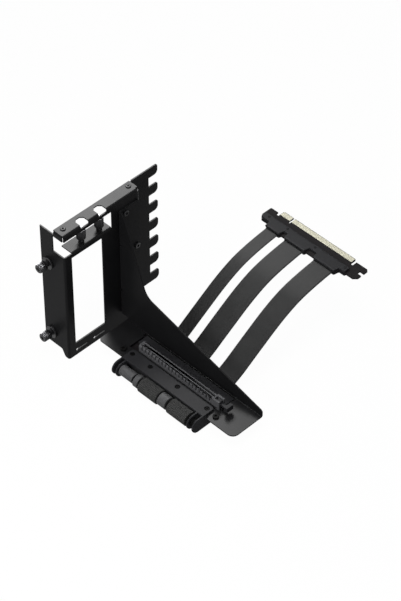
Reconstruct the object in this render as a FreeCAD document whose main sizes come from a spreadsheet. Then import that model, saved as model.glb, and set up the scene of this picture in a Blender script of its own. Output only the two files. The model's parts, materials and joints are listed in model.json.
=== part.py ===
"""Vertical graphics card bracket with a riser slot, cable rollers and a ribbon plug.

Millimetres, +Z up. The pieces are drawn from the lower corner of the front plate: X runs forward from the
plate's front face along the riser slot, Y runs across the plate from the flange's outer face, and Z runs up
from the plate's lower edge. One shift then carries every piece to the bracket's reference point, midway
between the two case screws on the flange's seat face.
"""
import FreeCAD, Part
import Sketcher
import math
import os

# A number drives the model, and a text is a formula made from other sizes.
SIZES = {
    # Folded sheet: its thickness, the inside radius of a fold and the seam left between two folded edges
    "sheet": 1.2,
    "bend": 0.8,
    "seam": 0.5,
    # Slot frame: flange at the left, plate in front, comb of tongues at the right, roof on top
    "slot_pitch": 20.32,
    "flange_depth": 29.2,
    "flange_top": "= frame_height - flange_drop",
    "flange_drop": 5.1,
    "flange_low": 7.2,
    "toe_root": 8.8,
    "toe_tip": 5.0,
    "toe_round": 2.4,
    "plate_width": 86.2,
    "frame_height": 143.4,
    "roof_left": 0.4,
    "roof_depth": 12.6,
    "tab_length": 13.0,
    "comb_setback": 10.4,
    "comb_root": "= plate_width + comb_plate",
    "comb_plate": 20.8,
    "comb_reach": "= comb_root + finger_length",
    "finger_length": 10.4,
    "comb_top": "= frame_height + comb_rise",
    "comb_rise": 1.0,
    "finger_height": 10.2,
    "finger_round": 2.2,
    "finger_round_low": 4.2,
    "finger_count": 7,
    # Stiffening darts pressed into the bend beside the comb
    "dart_first": 49.2,
    "dart_pitch": 18.2,
    "dart_count": 5,
    "dart_height": 2.6,
    "dart_depth": 2.0,
    # Window for the card's sockets, opening for its screw tab, slits for its tongues
    "window_left": 8.2,
    "window_width": 34.7,
    "window_low": 14.2,
    "window_top": "= seat_height - window_lip",
    "window_lip": 4.8,
    "seat_left": 9.2,
    "seat_height": "= frame_height - seat_drop",
    "seat_drop": 24.0,
    "seat_depth": 13.4,
    "opening_right": "= seat_left + opening_width",
    "opening_width": 45.2,
    "opening_top": "= frame_height - roof_lip",
    "roof_lip": 6.4,
    "notch_depth": 14.2,
    "notch_low": "= seat_height - notch_step",
    "notch_step": 0.4,
    "notch_top": "= opening_top - notch_lip",
    "notch_lip": 0.8,
    "access_width": 9.2,
    "access_depth": 9.0,
    "access_drop": 3.2,
    "access_round": 2.6,
    "slit_left": 9.6,
    "slit_length": 12.4,
    "slit_height": 5.6,
    "slit_width": 1.3,
    "slit_dot": 1.2,
    # Case screws through the flange, card screws through the seat
    "screw_setback": 19.8,
    "screw_mid": 61.4,
    "screw_spread": 81.28,
    "thread_radius": 1.75,
    "thread_gap": 0.08,
    "shank_relief": 0.1,
    "seat_play": 0.1,
    "screw_head_radius": 4.1,
    "screw_head_length": 8.0,
    "screw_neck_radius": 2.6,
    "screw_neck_length": 2.0,
    "case_screw_reach": 8.4,
    "card_screw_reach": 6.4,
    "knurl_count": 16,
    "knurl_depth": 0.35,
    "recess_width": 1.1,
    "recess_span": 4.4,
    "recess_depth": 1.6,
    "ferrule_radius": 5.85,
    "ferrule_length": 2.2,
    "card_screw_first": 24.3,
    "card_screw_setback": 5.6,
    "card_neck_length": 4.0,
    "card_head_length": 9.6,
    # Rivets that close the roof on its tabs
    "rivet_setback": 7.8,
    "rivet_left": 6.8,
    "rivet_right": "= plate_width - rivet_right_inset",
    "rivet_right_inset": 5.2,
    "rivet_radius": 2.5,
    "rivet_head_height": 0.9,
    # Card shelf: shelf, gusset and rear flange folded from one sheet
    "shelf_left": 8.5,
    "shelf_right": "= shelf_left + shelf_length",
    "shelf_length": 161.8,
    "shelf_front": "= gusset_place - shelf_depth",
    "shelf_depth": 34.2,
    "shelf_top": 12.0,
    "shelf_round": 6.5,
    "shelf_corner": 3.2,
    "gusset_place": "= plate_width - gusset_inset",
    "gusset_inset": 25.2,
    "gusset_top": "= frame_height - gusset_drop",
    "gusset_drop": 11.0,
    "gusset_nose": 5.6,
    "gusset_knee": 32.7,
    "gusset_knee_height": 55.3,
    "gusset_knee_round": 14.0,
    "gusset_tip_height": "= shelf_top + gusset_tip_rise",
    "gusset_tip_rise": 6.2,
    "gusset_tip_round": 3.0,
    "gusset_foot": "= shelf_top + gusset_foot_rise",
    "gusset_foot_rise": 2.5,
    "gusset_flange": "= plate_width - gusset_flange_gap",
    "gusset_flange_gap": 1.6,
    "relief_radius": 0.9,
    "fold_relief": 1.5,
    "relief_inset": 2.6,
    "relief_low": 43.1,
    "relief_high": 95.8,
    "riser_gap_left": "= slot_left - riser_gap_before",
    "riser_gap_before": 10.1,
    "riser_gap_right": "= slot_left + slot_length + riser_gap_after",
    "riser_gap_after": 7.2,
    "riser_gap_front": "= gusset_place - riser_gap_depth",
    "riser_gap_depth": 21.4,
    # Small screws: shank, head and the hole's clearance
    "shank_radius": 1.5,
    "hole_gap": 0.1,
    "head_radius": 2.8,
    "head_height": 1.5,
    "gusset_screw_high": "= gusset_top - gusset_screw_drop",
    "gusset_screw_drop": 5.4,
    "gusset_screw_high_place": "= plate_width - gusset_screw_high_inset",
    "gusset_screw_high_inset": 17.2,
    "gusset_screw_low": 82.0,
    "gusset_screw_low_place": "= plate_width - gusset_screw_low_inset",
    "gusset_screw_low_inset": 5.0,
    "gusset_screw_reach": 4.0,
    # Riser board under the shelf, hung from it on two screws
    "board_top": "= shelf_top - sheet - board_gap",
    "board_gap": 1.55,
    "board_thickness": 1.6,
    "board_left": "= slot_left - board_before",
    "board_before": 16.1,
    "board_right": "= slot_left + slot_length + board_after",
    "board_after": 14.6,
    "board_front": "= slot_mid - board_ahead",
    "board_ahead": 7.7,
    "board_back": "= gusset_place + board_behind",
    "board_behind": 2.5,
    "ear_front": "= slot_mid - ear_ahead",
    "ear_ahead": 14.9,
    "ear_left": "= slot_left - ear_before",
    "ear_before": 6.6,
    "ear_right": "= slot_left + slot_length + ear_after",
    "ear_after": 6.5,
    "board_screw_left": "= slot_left - board_screw_before",
    "board_screw_before": 11.2,
    "board_screw_right": "= slot_left + slot_length + board_screw_after",
    "board_screw_after": 10.3,
    "board_screw_place": "= slot_mid - board_screw_ahead",
    "board_screw_ahead": 11.0,
    "spacer_radius": 2.9,
    "nut_radius": 3.1,
    "nut_height": 2.4,
    # Card slot on the board
    "slot_left": 43.6,
    "slot_length": "= groove_left + groove_length + groove_after",
    "groove_after": 1.4,
    "slot_mid": "= gusset_place - slot_inset",
    "slot_inset": 16.5,
    "slot_width": 7.6,
    "slot_top": "= board_top + slot_height",
    "slot_height": 11.25,
    "groove_left": 2.8,
    "groove_length": 85.5,
    "groove_width": 1.9,
    "groove_depth": 8.6,
    "key_start": 11.8,
    "key_width": 1.7,
    "rib_pitch": "= (slot_length - 2 * rib_first - rib_gap) / (rib_count - 1)",
    "rib_count": 21,
    "rib_gap": 1.6,
    "rib_first": 3.3,
    "rib_depth": 1.5,
    "rib_height": 5.3,
    "slot_chamfer": 1.6,
    # Clip at the end of the slot
    "ear_length": 6.6,
    "clip_room": 3.8,
    "clip_gap": 0.3,
    "clip_floor": 1.4,
    "clip_pivot": 3.9,
    "clip_pivot_height": 3.8,
    "clip_pin_radius": 0.9,
    "clip_boss": 1.9,
    "clip_hook_height": "= board_top + clip_pivot_height + clip_hook_rise",
    "clip_hook_rise": 6.35,
    "clip_lever_low": "= board_top + clip_pivot_height + clip_lever_rise",
    "clip_lever_rise": 2.35,
    "clip_lever_high": "= clip_lever_low + clip_lever_thickness",
    "clip_lever_thickness": 1.8,
    "clip_reach": "= slot_left + slot_length + clip_pivot + clip_length",
    "clip_length": 12.4,
    "clip_paddle": 3.4,
    "clip_paddle_height": "= clip_lever_low + clip_paddle_rise",
    "clip_paddle_rise": 5.0,
    "pin_gap": 0.04,
    # Cover over the ribbon joints behind the slot
    "cover_left": "= riser_gap_left + cover_inset",
    "cover_inset": 1.1,
    "cover_right": "= riser_gap_right - cover_inset",
    "cover_gap": 0.5,
    "cover_height": 2.4,
    "cover_back": "= gusset_place - cover_gusset_gap",
    "cover_gusset_gap": 1.4,
    # Cable guide: plate on the shelf, two cheeks at each end, rollers on an axle
    "guide_left": "= slot_left - guide_before",
    "guide_before": 4.2,
    "guide_right": "= right_roller_end + roller_end_gap + 2 * cheek + cheek_gap_right",
    "roller_end_gap": 2.6,
    "guide_front": "= shelf_front - guide_overhang",
    "guide_overhang": 1.8,
    "guide_back": "= riser_gap_front - guide_back_gap",
    "guide_back_gap": 0.9,
    "guide_plate": 2.3,
    "guide_round": 3.0,
    "guide_gap": 0.4,
    "guide_notch_left": "= guide_left - guide_notch_before",
    "guide_notch_before": 1.6,
    "guide_notch_right": "= guide_right + guide_notch_after",
    "guide_notch_after": 2.2,
    "guide_notch_back": "= shelf_front + guide_notch_depth",
    "guide_notch_depth": 3.2,
    "guide_notch_round": 1.5,
    "cheek": 1.6,
    "cheek_gap_left": 3.0,
    "cheek_gap_right": 4.8,
    "cheek_tip": "= shelf_front - cheek_ahead",
    "cheek_ahead": 14.4,
    "cheek_tail": "= shelf_front + cheek_behind",
    "cheek_behind": 9.2,
    "cheek_low": 0.1,
    "nose_flat": 0.05,
    "guide_screw_place": "= guide_notch_back + guide_screw_inset",
    "guide_screw_inset": 3.8,
    "guide_screw_first": "= guide_left + guide_screw_first_inset",
    "guide_screw_first_inset": 3.9,
    "guide_screw_second": "= guide_left + guide_screw_second_inset",
    "guide_screw_second_inset": 25.6,
    "guide_screw_third": "= guide_left + guide_screw_third_inset",
    "guide_screw_third_inset": 58.4,
    "guide_screw_last": "= guide_right - guide_screw_last_inset",
    "guide_screw_last_inset": 4.4,
    "guide_screw_radius": 2.3,
    "guide_screw_sink": 0.5,
    "guide_screw_reach": "= guide_gap / 2",
    "trough_gap": 0.5,
    "axle_radius": 3.9,
    "axle_gap": 0.05,
    "bush_radius": 4.9,
    "bush_end": "= guide_left + 2 * cheek + cheek_gap_left + bush_length",
    "bush_length": 15.7,
    "ring_radius": 5.85,
    "ring_start": "= bush_end + ring_gap",
    "ring_gap": 2.0,
    "ring_end": "= ring_start + ring_length",
    "ring_length": 4.9,
    "roller_radius": 7.0,
    "left_roller_start": "= ring_end + ring_roller_gap",
    "ring_roller_gap": 2.5,
    "left_roller_end": "= left_roller_start + left_roller_length",
    "left_roller_length": 21.1,
    "sleeve_radius": 6.1,
    "sleeve_start": "= left_roller_end + sleeve_gap_left",
    "sleeve_gap_left": 1.4,
    "sleeve_end": "= sleeve_start + sleeve_length",
    "sleeve_length": 9.0,
    "right_roller_start": "= sleeve_end + sleeve_gap_right",
    "sleeve_gap_right": 3.0,
    "right_roller_end": "= right_roller_start + right_roller_length",
    "right_roller_length": 21.6,
    "groove_count": 28,
    "groove_cut": 0.45,
    # Ribbons from the board to the plug
    "ribbon_thickness": 1.0,
    "ribbon_left_start": "= slot_left + ribbon_left_inset",
    "ribbon_left_inset": 5.9,
    "ribbon_left_width": 13.6,
    "ribbon_middle_start": "= slot_left + ribbon_middle_inset",
    "ribbon_middle_inset": 27.9,
    "ribbon_middle_width": 21.6,
    "ribbon_right_start": "= slot_left + ribbon_right_inset",
    "ribbon_right_inset": 62.5,
    "ribbon_right_width": 21.8,
    # Plug: edge board between two covers
    "plug_top": "= board_top + plug_rise",
    "plug_rise": 53.75,
    "plug_edge": "= plug_back + plug_depth",
    "plug_depth": 24.2,
    "plug_back": "= board_back + plug_away",
    "plug_away": 127.7,
    "plug_left": "= plug_finger_left - plug_ear_before",
    "plug_ear_before": 11.7,
    "plug_finger_left": "= slot_left + plug_finger_inset",
    "plug_finger_inset": 3.1,
    "plug_finger_short": 11.6,
    "plug_key": 1.9,
    "plug_finger_length": 85.2,
    "plug_finger_root": "= plug_edge - plug_finger_depth",
    "plug_finger_depth": 7.4,
    "plug_ear_tip": "= plug_edge - plug_ear_setback",
    "plug_ear_setback": 4.4,
    "plug_ear_width": 8.6,
    "plug_hook_tip": "= plug_edge - plug_hook_setback",
    "plug_hook_setback": 2.3,
    "plug_hook_right": "= plug_hook_left + plug_hook_width",
    "plug_hook_width": 14.0,
    "plug_hook_left": "= plug_finger_left + plug_finger_length + plug_hook_gap",
    "plug_hook_gap": 2.7,
    "plug_hook_slot": 4.5,
    "plug_hook_low": "= plug_hook_high - plug_hook_mouth",
    "plug_hook_mouth": 3.5,
    "plug_hook_high": "= plug_finger_root - plug_hook_drop",
    "plug_hook_drop": 1.0,
    "plug_waist": "= plug_back + plug_tail",
    "plug_tail": 5.0,
    "plug_chamfer": 3.4,
    "plug_trim": 0.8,
    "pad_length": 5.0,
    "pad_thickness": 0.12,
    "pad_inset": 0.4,
    "plug_cover_left": "= plug_left + plug_cover_left_inset",
    "plug_cover_left_inset": 2.4,
    "plug_cover_right": "= plug_hook_left + plug_cover_lap",
    "plug_cover_lap": 1.8,
    "plug_cover_edge": "= plug_finger_root - plug_cover_setback",
    "plug_cover_setback": 5.4,
    "plug_cover_back": "= plug_back - plug_cover_overlap",
    "plug_cover_overlap": 1.5,
    "plug_cover_waist": "= plug_waist - plug_cover_step",
    "plug_cover_step": 0.6,
    "plug_cover_margin": 2.8,
    "plug_cover_height": 2.1,
}

# The ribbons' route in the YZ plane, from the upper back edge of the riser board up to the plug.
RIBBON_ROUTE = [(0.25, -0.7), (11.5, 2.25), (34.5, 17.65), (69.5, 40.05), (97.5, 50.15), (127.5, 52.95)]
# A cut runs this far past the face it starts from.
OVER = 1.0
# An arc of the route takes this share of its shorter run, measured from the corner.
ROUTE_SHARE = 0.45


class Length:
    """A length that knows its number and the spreadsheet expression that gives it."""

    def __init__(self, number, text):
        self.number = number
        self.text = text

    def __add__(self, other):
        other = length(other)
        return Length(self.number + other.number, f"({self.text} + {other.text})")

    def __sub__(self, other):
        other = length(other)
        return Length(self.number - other.number, f"({self.text} - {other.text})")

    def __mul__(self, other):
        other = length(other)
        return Length(self.number * other.number, f"({self.text} * {other.text})")

    def __truediv__(self, other):
        other = length(other)
        return Length(self.number / other.number, f"({self.text} / {other.text})")

    def __neg__(self):
        return Length(-self.number, f"(-{self.text})")

    __radd__ = __add__
    __rmul__ = __mul__


def length(value):
    return value if isinstance(value, Length) else Length(float(value), f"({float(value)!r})")


class Sizes:
    """The sheet's driving sizes by name, such as d.sheet."""

    def __getattr__(self, name):
        return Length(float(dims.get(name)), f"dims.{name}")


doc = FreeCAD.newDocument("bracket")
dims = doc.addObject("Spreadsheet::Sheet", "dims")
for row, (name, size) in enumerate(SIZES.items(), start=1):
    dims.set(f"A{row}", name)
    dims.set(f"B{row}", str(size))
    dims.setAlias(f"B{row}", name)
doc.recompute()

d = Sizes()
NODES = {}
SHIFT = (d.screw_setback, -d.sheet, -d.screw_mid)
TO_X = FreeCAD.Rotation(FreeCAD.Vector(0, 1, 0), 90)
TO_Y = FreeCAD.Rotation(FreeCAD.Vector(1, 0, 0), -90)
AWAY_Y = FreeCAD.Rotation(FreeCAD.Vector(1, 0, 0), 90)
UPRIGHT = FreeCAD.Rotation()


def bind(thing, field, value):
    thing.setExpression(field, length(value).text)


def place(thing, at=(0, 0, 0), turn=UPRIGHT):
    thing.Placement.Rotation = turn
    for axis, shift, offset in zip("xyz", SHIFT, at):
        bind(thing, f"Placement.Base.{axis}", shift + offset)


def new_body(label, at=(0, 0, 0), turn=UPRIGHT, node=True):
    body = doc.addObject("PartDesign::Body", label)
    body.Label = label
    place(body, at, turn)
    if node:
        NODES[label] = body
    return body


def origin_feature(body, role):
    return next(feature for feature in body.Origin.OriginFeatures if feature.Role == role)


def fix_point(sketch, curve, point, x, y):
    """Ties a point of a curve to its two coordinates."""
    for kind, value, axis in (("DistanceX", length(x), -2), ("DistanceY", length(y), -1)):
        if value.number == 0:
            sketch.addConstraint(Sketcher.Constraint("PointOnObject", curve, point, axis))
        else:
            at = sketch.addConstraint(Sketcher.Constraint(kind, -1, 1, curve, point, value.number))
            bind(sketch, f"Constraints[{at}]", value)


def polygon(*corners):
    """A closed outline through the corners, drawn into a sketch."""
    def draw(sketch):
        points = [FreeCAD.Vector(length(x).number, length(y).number, 0) for x, y in corners]
        first = sketch.GeometryCount
        count = len(points)
        for k in range(count):
            sketch.addGeometry(Part.LineSegment(points[k], points[(k + 1) % count]), False)
        for k, (x, y) in enumerate(corners):
            sketch.addConstraint(Sketcher.Constraint("Coincident", first + k, 2, first + (k + 1) % count, 1))
            fix_point(sketch, first + k, 1, x, y)
    return draw


def rectangle(left, low, right, high):
    return polygon((left, low), (right, low), (right, high), (left, high))


def circle(x, y, radius):
    def draw(sketch):
        centre = FreeCAD.Vector(length(x).number, length(y).number, 0)
        curve = sketch.addGeometry(Part.Circle(centre, FreeCAD.Vector(0, 0, 1), length(radius).number), False)
        at = sketch.addConstraint(Sketcher.Constraint("Radius", curve, length(radius).number))
        bind(sketch, f"Constraints[{at}]", radius)
        fix_point(sketch, curve, 3, x, y)
    return draw


def toothed(count, tip, root):
    """A closed zigzag of pointed teeth between two radii."""
    corners = []
    for k in range(2 * count):
        angle = math.pi * (k + 0.5) / count
        reach = root if k % 2 else tip
        corners.append((reach * math.cos(angle), reach * math.sin(angle)))
    return polygon(*corners)


def hexagon(radius):
    rise = radius * math.sqrt(0.75)
    run = radius / 2
    return polygon((radius, 0), (run, rise), (-run, rise), (-radius, 0), (-run, -rise), (run, -rise))


def new_sketch(body, name, plane, shapes, offset=0):
    sketch = body.newObject("Sketcher::SketchObject", name + "_sketch")
    sketch.AttachmentSupport = [(origin_feature(body, plane), "")]
    sketch.MapMode = "FlatFace"
    bind(sketch, "AttachmentOffset.Base.z", offset)
    for draw in shapes:
        draw(sketch)
    return sketch


def slab(body, name, plane, shapes, start, end, cut=False):
    """Shapes on an origin plane, padded or cut from start to end along the axis across that plane."""
    if plane == "XZ_Plane":
        offset = -length(start) if cut else -length(end)
    else:
        offset = end if cut else start
    sketch = new_sketch(body, name, plane, shapes, offset)
    feature = body.newObject("PartDesign::Pocket" if cut else "PartDesign::Pad", name)
    feature.Profile = sketch
    bind(feature, "Length", length(end) - start)
    body.Tip = feature
    return feature


def turned(body, name, *corners):
    """A turned solid: corners are radius and height, spun about the body's Z axis."""
    sketch = new_sketch(body, name, "XZ_Plane", [polygon(*corners)])
    feature = body.newObject("PartDesign::Revolution", name)
    feature.Profile = sketch
    feature.ReferenceAxis = (origin_feature(body, "Z_Axis"), [""])
    feature.Angle = 360
    body.Tip = feature
    return feature


def repeat(body, name, feature, axis, span, count):
    """Copies of a feature in a row: span is the distance from the first to the last."""
    pattern = body.newObject("PartDesign::LinearPattern", name)
    pattern.Originals = [feature]
    pattern.Direction = (origin_feature(body, axis), [""])
    bind(pattern, "Length", span)
    bind(pattern, "Occurrences", count)
    body.Tip = pattern
    return pattern


def near(number, value):
    return abs(number - length(value).number) < 1e-4


def runs_along(edge, axis):
    """True for a straight edge along X, Y or Z."""
    start, end = edge.firstVertex().Point, edge.lastVertex().Point
    across = [k for k in range(3) if k != "XYZ".index(axis)]
    return edge.Curve.TypeId == "Part::GeomLine" and all(abs(start[k] - end[k]) < 1e-6 for k in across)


def round_edges(body, name, radius, axis, *spots):
    """Rounds the straight edges along an axis that pass through the spots, given in the other two axes."""
    doc.recompute()
    base = body.Tip
    across = [k for k in range(3) if k != "XYZ".index(axis)]
    chosen = []
    for number, edge in enumerate(base.Shape.Edges, start=1):
        centre = edge.CenterOfMass
        if runs_along(edge, axis):
            if any(near(centre[across[0]], u) and near(centre[across[1]], v) for u, v in spots):
                chosen.append(f"Edge{number}")
    feature = body.newObject("PartDesign::Fillet", name)
    feature.Base = (base, chosen)
    bind(feature, "Radius", radius)
    body.Tip = feature
    return feature


def group(label, bodies):
    """Like pieces that share one node."""
    compound = doc.addObject("Part::Compound", label)
    compound.Label = label
    compound.Links = bodies
    NODES[label] = compound


def small_screw(name, at, turn, reach):
    """A cheese-head screw with its seat at the place and its head along the turned Z axis."""
    body = new_body(name, at, turn, node=False)
    turned(body, name + "_turned", (0, -length(reach)), (d.shank_radius, -length(reach)), (d.shank_radius, 0),
           (d.head_radius, 0), (d.head_radius, d.head_height), (0, d.head_height))
    return body


def cross_recess(body, name, top, width, span, depth):
    """A cross cut into the end of a screw's head."""
    w = width / 2
    s = span / 2
    outline = polygon((w, s), (-w, s), (-w, w), (-s, w), (-s, -w), (-w, -w),
                      (-w, -s), (w, -s), (w, -w), (s, -w), (s, w), (w, w))
    slab(body, name + "_recess", "XY_Plane", [outline], top - depth, top + OVER, cut=True)


def thumb_screw(label, at, turn, neck, head, reach, wall=None):
    """A knurled screw: its seat at the place, its head along the turned Z axis, its thread the other way.

    Where it passes a wall its shank is relieved, so that it stays on that wall when it is undone.
    """
    body = new_body(label, at, turn)
    under = d.seat_play + neck
    top = under + head
    corners = [(0, -reach), (d.thread_radius, -reach)]
    if wall:
        shank = d.thread_radius - d.shank_relief
        corners += [(d.thread_radius, -wall), (shank, -wall), (shank, d.seat_play)]
    else:
        corners += [(d.thread_radius, d.seat_play)]
    turned(body, label + "_turned", *corners, (d.screw_neck_radius, d.seat_play), (d.screw_neck_radius, under),
           (0, under))
    rim = d.screw_head_radius
    knurl = toothed(SIZES["knurl_count"], rim, rim - d.knurl_depth)
    slab(body, label + "_head", "XY_Plane", [knurl], under, top)
    cross_recess(body, label, top, d.recess_width, d.recess_span, d.recess_depth)


def build_frame():
    """One folded sheet: side flange, front plate, stepped comb of slot tongues, roof and card seat."""
    body = new_body("slot_frame")
    fold = d.sheet + d.bend
    inner = -d.sheet
    wall = d.plate_width - d.sheet
    comb_front = -d.comb_setback
    comb_back = comb_front - d.sheet
    tab_top = d.frame_height - d.sheet
    tab_end = -fold - d.seam

    comb_start = d.plate_width + fold
    slab(body, "frame_section", "XY_Plane", [polygon(
        (-d.flange_depth, 0), (0, 0), (0, d.plate_width), (comb_front, d.plate_width), (comb_front, comb_start),
        (comb_back, comb_start), (comb_back, wall), (inner, wall), (inner, d.sheet),
        (-d.flange_depth, d.sheet))], 0, d.frame_height)
    round_edges(body, "frame_bends_in", d.bend, "Z", (inner, d.sheet), (inner, wall),
                (comb_front, d.plate_width))
    round_edges(body, "frame_bends_out", fold, "Z", (0, 0), (0, d.plate_width), (comb_back, wall))

    thread_hole = d.thread_radius + d.thread_gap
    behind = -d.flange_depth - OVER
    slab(body, "flange_outline", "XZ_Plane", [
        polygon((behind, d.flange_top), (-d.roof_depth, d.flange_top), (-d.roof_depth, tab_top),
                (tab_end, tab_top), (tab_end, d.notch_top), (-d.notch_depth, d.notch_top),
                (-d.notch_depth, d.notch_low), (OVER, d.notch_low), (OVER, d.frame_height + OVER),
                (behind, d.frame_height + OVER)),
        polygon((behind, -OVER), (-d.toe_tip, -OVER), (-d.toe_tip, 0), (-d.toe_root, d.flange_low),
                (behind, d.flange_low)),
        circle(-d.screw_setback, d.screw_mid - d.screw_spread / 2, thread_hole),
        circle(-d.screw_setback, d.screw_mid + d.screw_spread / 2, thread_hole),
    ], -OVER, fold, cut=True)
    round_edges(body, "flange_toe", d.toe_round, "Y", (-d.toe_tip, 0), (-d.toe_root, d.flange_low))

    slit_low = d.slit_height - d.slit_width / 2
    slit_high = d.slit_height + d.slit_width / 2
    second_slit = d.slit_left + d.slot_pitch
    window_right = d.window_left + d.window_width
    seat_right = d.opening_right - d.seam
    seat_relief = d.seat_height - fold - d.seam
    shank_hole = d.shank_radius + d.hole_gap
    slab(body, "front_openings", "YZ_Plane", [
        rectangle(d.window_left, d.window_low, window_right, d.window_top),
        polygon((-OVER, d.notch_low), (d.seat_left - d.seam, d.notch_low), (d.seat_left - d.seam, seat_relief),
                (d.seat_left, seat_relief), (d.seat_left, d.seat_height), (seat_right, d.seat_height),
                (seat_right, seat_relief), (d.opening_right, seat_relief), (d.opening_right, d.opening_top),
                (-OVER, d.opening_top)),
        rectangle(d.slit_left, slit_low, d.slit_left + d.slit_length, slit_high),
        rectangle(second_slit, slit_low, second_slit + d.slit_length, slit_high),
        circle(d.gusset_screw_high_place, d.gusset_screw_high, shank_hole),
        circle(d.gusset_screw_low_place, d.gusset_screw_low, shank_hole),
    ], -fold, OVER, cut=True)
    slab(body, "slit_ends", "YZ_Plane", [
        rectangle(y - d.slit_dot, d.slit_height - d.slit_dot, y + d.slit_dot, d.slit_height + d.slit_dot)
        for y in (d.slit_left, second_slit)], -fold, OVER, cut=True)
    roof_right = d.plate_width - fold - d.seam
    relief = d.frame_height - fold - d.seam
    slab(body, "wall_top", "XZ_Plane", [polygon(
        (comb_front, tab_top), (tab_end, tab_top), (tab_end, relief), (OVER, relief),
        (OVER, d.frame_height + OVER), (comb_front, d.frame_height + OVER))],
        roof_right, d.plate_width + OVER, cut=True)

    tab_low = tab_top - d.sheet
    slab(body, "left_tab", "XY_Plane", [rectangle(-d.roof_depth, 0, tab_end, d.tab_length)], tab_low, tab_top)
    round_edges(body, "left_tab_fold", fold, "X", (0, tab_top))
    slab(body, "right_tab", "XY_Plane", [rectangle(
        comb_front + fold, d.plate_width - d.tab_length, tab_end, d.plate_width)], tab_low, tab_top)
    slab(body, "lip_end", "YZ_Plane", [rectangle(
        d.roof_left, d.opening_top, d.seat_left, d.frame_height)], inner, 0)
    slab(body, "roof", "XY_Plane", [polygon(
        (-d.roof_depth, d.roof_left), (0, d.roof_left), (0, roof_right), (tab_end, roof_right),
        (tab_end, d.plate_width), (-d.roof_depth, d.plate_width))], tab_top, d.frame_height)
    round_edges(body, "roof_fold_out", fold, "Y", (0, d.frame_height))
    round_edges(body, "roof_fold_in", d.bend, "Y", (inner, tab_top))

    half = d.access_width / 2
    deep = -d.access_depth
    notches = []
    for mid in (d.card_screw_first, d.card_screw_first + d.slot_pitch):
        notches.append(polygon(
            (OVER, mid - half), (OVER, mid + half), (deep + d.access_round, mid + half),
            (deep, mid + half - d.access_round), (deep, mid - half + d.access_round),
            (deep + d.access_round, mid - half)))
    access_low = d.frame_height - d.access_drop
    slab(body, "screw_access", "XY_Plane", notches, access_low, d.frame_height + OVER, cut=True)

    seat_low = d.seat_height - d.sheet
    slab(body, "card_seat", "XY_Plane", [rectangle(-d.seat_depth, d.seat_left, 0, seat_right)],
         seat_low, d.seat_height)
    round_edges(body, "seat_fold_out", fold, "Y", (0, d.seat_height))
    round_edges(body, "seat_fold_in", d.bend, "Y", (inner, seat_low))
    slab(body, "card_screw_holes", "XY_Plane", [
        circle(-d.card_screw_setback, d.card_screw_first, thread_hole),
        circle(-d.card_screw_setback, d.card_screw_first + d.slot_pitch, thread_hole),
    ], seat_low - OVER, d.seat_height + OVER, cut=True)
    slab(body, "rivet_holes", "XY_Plane", [
        circle(-d.rivet_setback, d.rivet_left, d.rivet_radius),
        circle(-d.rivet_setback, d.rivet_right, d.rivet_radius),
    ], tab_low - OVER, d.frame_height + OVER, cut=True)

    last_top = d.comb_top - (d.finger_count - 1) * d.slot_pitch
    slab(body, "comb", "YZ_Plane", [rectangle(
        comb_start - d.bend, last_top - d.finger_height, d.comb_reach, d.comb_top)], comb_back, comb_front)
    gap = slab(body, "comb_gap", "YZ_Plane", [rectangle(
        d.comb_root, last_top, d.comb_reach + OVER, last_top + d.slot_pitch - d.finger_height)],
        comb_back - OVER, comb_front + OVER, cut=True)
    repeat(body, "comb_gaps", gap, "Z_Axis", (d.finger_count - 2) * d.slot_pitch, d.finger_count - 1)
    tops = [d.comb_top - d.slot_pitch * k for k in range(SIZES["finger_count"])]
    round_edges(body, "finger_tips", d.finger_round, "X", *[(d.comb_reach, top) for top in tops])
    round_edges(body, "finger_leads", d.finger_round_low, "X",
                *[(d.comb_reach, top - d.finger_height) for top in tops])

    dart_top = d.dart_first + d.dart_height
    dart_span = (d.dart_count - 1) * d.dart_pitch
    bump = slab(body, "dart_bump", "XY_Plane", [polygon(
        (inner, wall - d.dart_depth), (inner, wall), (inner - d.dart_depth, wall))], d.dart_first, dart_top)
    repeat(body, "dart_bumps", bump, "Z_Axis", dart_span, d.dart_count)
    dent = slab(body, "dart_dent", "XY_Plane", [polygon(
        (OVER, d.plate_width - d.dart_depth - OVER), (OVER, d.plate_width + OVER),
        (-d.dart_depth - OVER, d.plate_width + OVER))], d.dart_first, dart_top, cut=True)
    repeat(body, "dart_dents", dent, "Z_Axis", dart_span, d.dart_count)

    rivets = []
    for side, across in (("left", d.rivet_left), ("right", d.rivet_right)):
        rivet = new_body(f"frame_rivet_{side}", (-d.rivet_setback, across, d.frame_height), node=False)
        turned(rivet, f"frame_rivet_{side}_turned", (0, -2 * d.sheet), (d.rivet_radius, -2 * d.sheet),
               (d.rivet_radius, d.rivet_head_height), (0, d.rivet_head_height))
        rivets.append(rivet)
    group("frame_rivets", rivets)


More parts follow.
